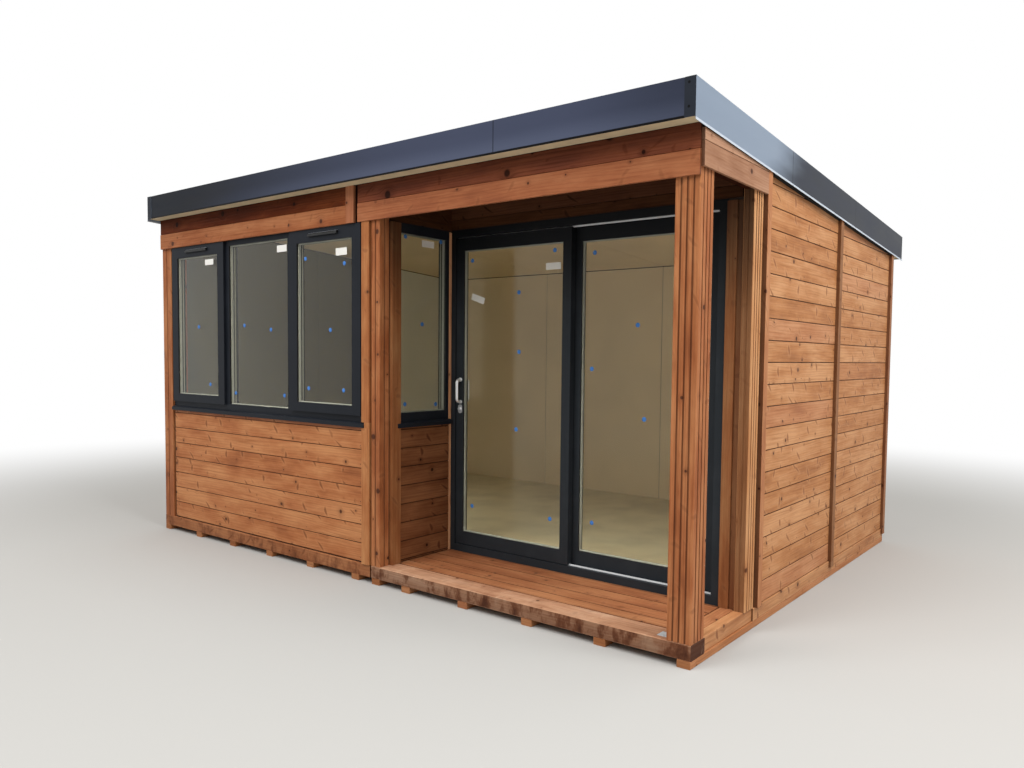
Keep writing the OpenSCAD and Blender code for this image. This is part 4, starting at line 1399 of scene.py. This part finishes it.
@dataclass
class Studio:
    """Floor, lamps, white surround and the camera."""

    spot: tuple = (3.7328, -4.7195, 1.3517)
    azimuth: float = 37.1016
    pitch: float = -3.0962
    roll: float = 0.6822
    lens: float = 27.942
    sensor: float = 36.0
    shift: tuple = (-0.02986, 0.01509)
    low_sky: float = 0.22
    high_sky: float = 1.15
    half_floor: float = 40.0
    floor_fade: tuple = (3.6, 9.0)
    lamp_power: float = 560.0

    def camera(self) -> None:
        """Puts the camera where the photograph was taken from.

        Forward is (-sin a cos p, cos a cos p, sin p); the right and up directions are then turned
        about it by the roll.
        """
        a, p, r = (math.radians(v) for v in (self.azimuth, self.pitch, self.roll))
        forward = np.array([-math.sin(a) * math.cos(p), math.cos(a) * math.cos(p), math.sin(p)])
        right = np.cross(forward, Z)
        right /= np.linalg.norm(right)
        up = np.cross(right, forward)
        data = bpy.data.cameras.new("camera")
        data.lens, data.sensor_width, data.sensor_fit = self.lens, self.sensor, "HORIZONTAL"
        data.shift_x, data.shift_y = self.shift
        data.clip_end = 200.0
        rows = np.eye(4)
        rows[:3] = np.column_stack([right * math.cos(r) + up * math.sin(r), up * math.cos(r) - right * math.sin(r),
                                    -forward, self.spot])
        bpy.context.scene.camera = linked("camera", data)
        bpy.context.scene.camera.matrix_world = Matrix(rows.tolist())

    def lamp(self, name: str, spot: Floats, aim: Floats, size: float) -> None:
        """A square soft lamp that faces a point and isn't mirrored.

        Args:
            name: Name of the lamp.
            spot: Where it hangs.
            aim: The point that it faces.
            size: Length of its side in metres.
        """
        data = bpy.data.lights.new(name, "AREA")
        data.energy, data.size = self.lamp_power, size
        lamp = linked(name, data)
        lamp.visible_glossy = False
        turn = (Vector(aim) - Vector(spot)).to_track_quat("-Z", "Y").to_matrix().to_4x4()
        lamp.matrix_world = Matrix.Translation(Vector(spot)) @ turn

    def surround(self) -> None:
        """A white surround for the eye, glass and gloss, and a sky for light that grows brighter overhead."""
        world = bpy.context.scene.world = bpy.data.worlds.new("studio")
        board = NodeBoard(world, "OutputWorld")
        rise = board.line(board.split(board.place("Generated"))[2], 0.0, 1.0, self.low_sky, self.high_sky)
        light = board.node("Background", {0: (1.0, 0.99, 0.97, 1.0), 1: rise})
        board.ends(light, board.node("Background", {0: WHITE}), board.seen())

    def floor(self) -> None:
        """A plain pale floor that keeps the pod's shadow and runs out to white."""
        mesh = bpy.data.meshes.new("studio_floor")
        corners = np.array([[-1, -1, 0], [1, -1, 0], [1, 1, 0], [-1, 1, 0]]) * self.half_floor
        mesh.from_pydata(corners.tolist(), [], [(0, 1, 2, 3)])
        mesh.materials.append(bpy.data.materials.new("studio_floor_pale"))
        board = NodeBoard(mesh.materials[0])
        ground = board.node("BsdfDiffuse", {"Color": srgb(176, 175, 172)})
        white = board.node("Emission", {"Color": WHITE, "Strength": 1.0})
        board.ends(ground, white, board.times(board.range(board.length(board.place()), *self.floor_fade), board.seen()))
        floor = linked("studio_floor", mesh)

    def build(self) -> None:
        """Sets the stage."""
        bpy.context.scene.view_settings.view_transform = "Standard"
        self.floor()
        self.surround()
        self.lamp("right_key", (6.5, -1.5, 7.5), (1.5, 0.0, 1.0), 4.0)
        self.lamp("front_key", (-0.5, -7.0, 8.5), (0.0, -1.0, 1.0), 5.0)
        self.camera()


def main() -> None:
    """Builds the pod's looks in order."""
    logging.basicConfig(level=logging.INFO, format="%(name)s %(message)s")
    for part in (Timberwork(), Cladding(), Windows(), PatioDoor(), RoofEdge(), Room(), Studio()):
        part.build()


if __name__ == "__main__":
    main()
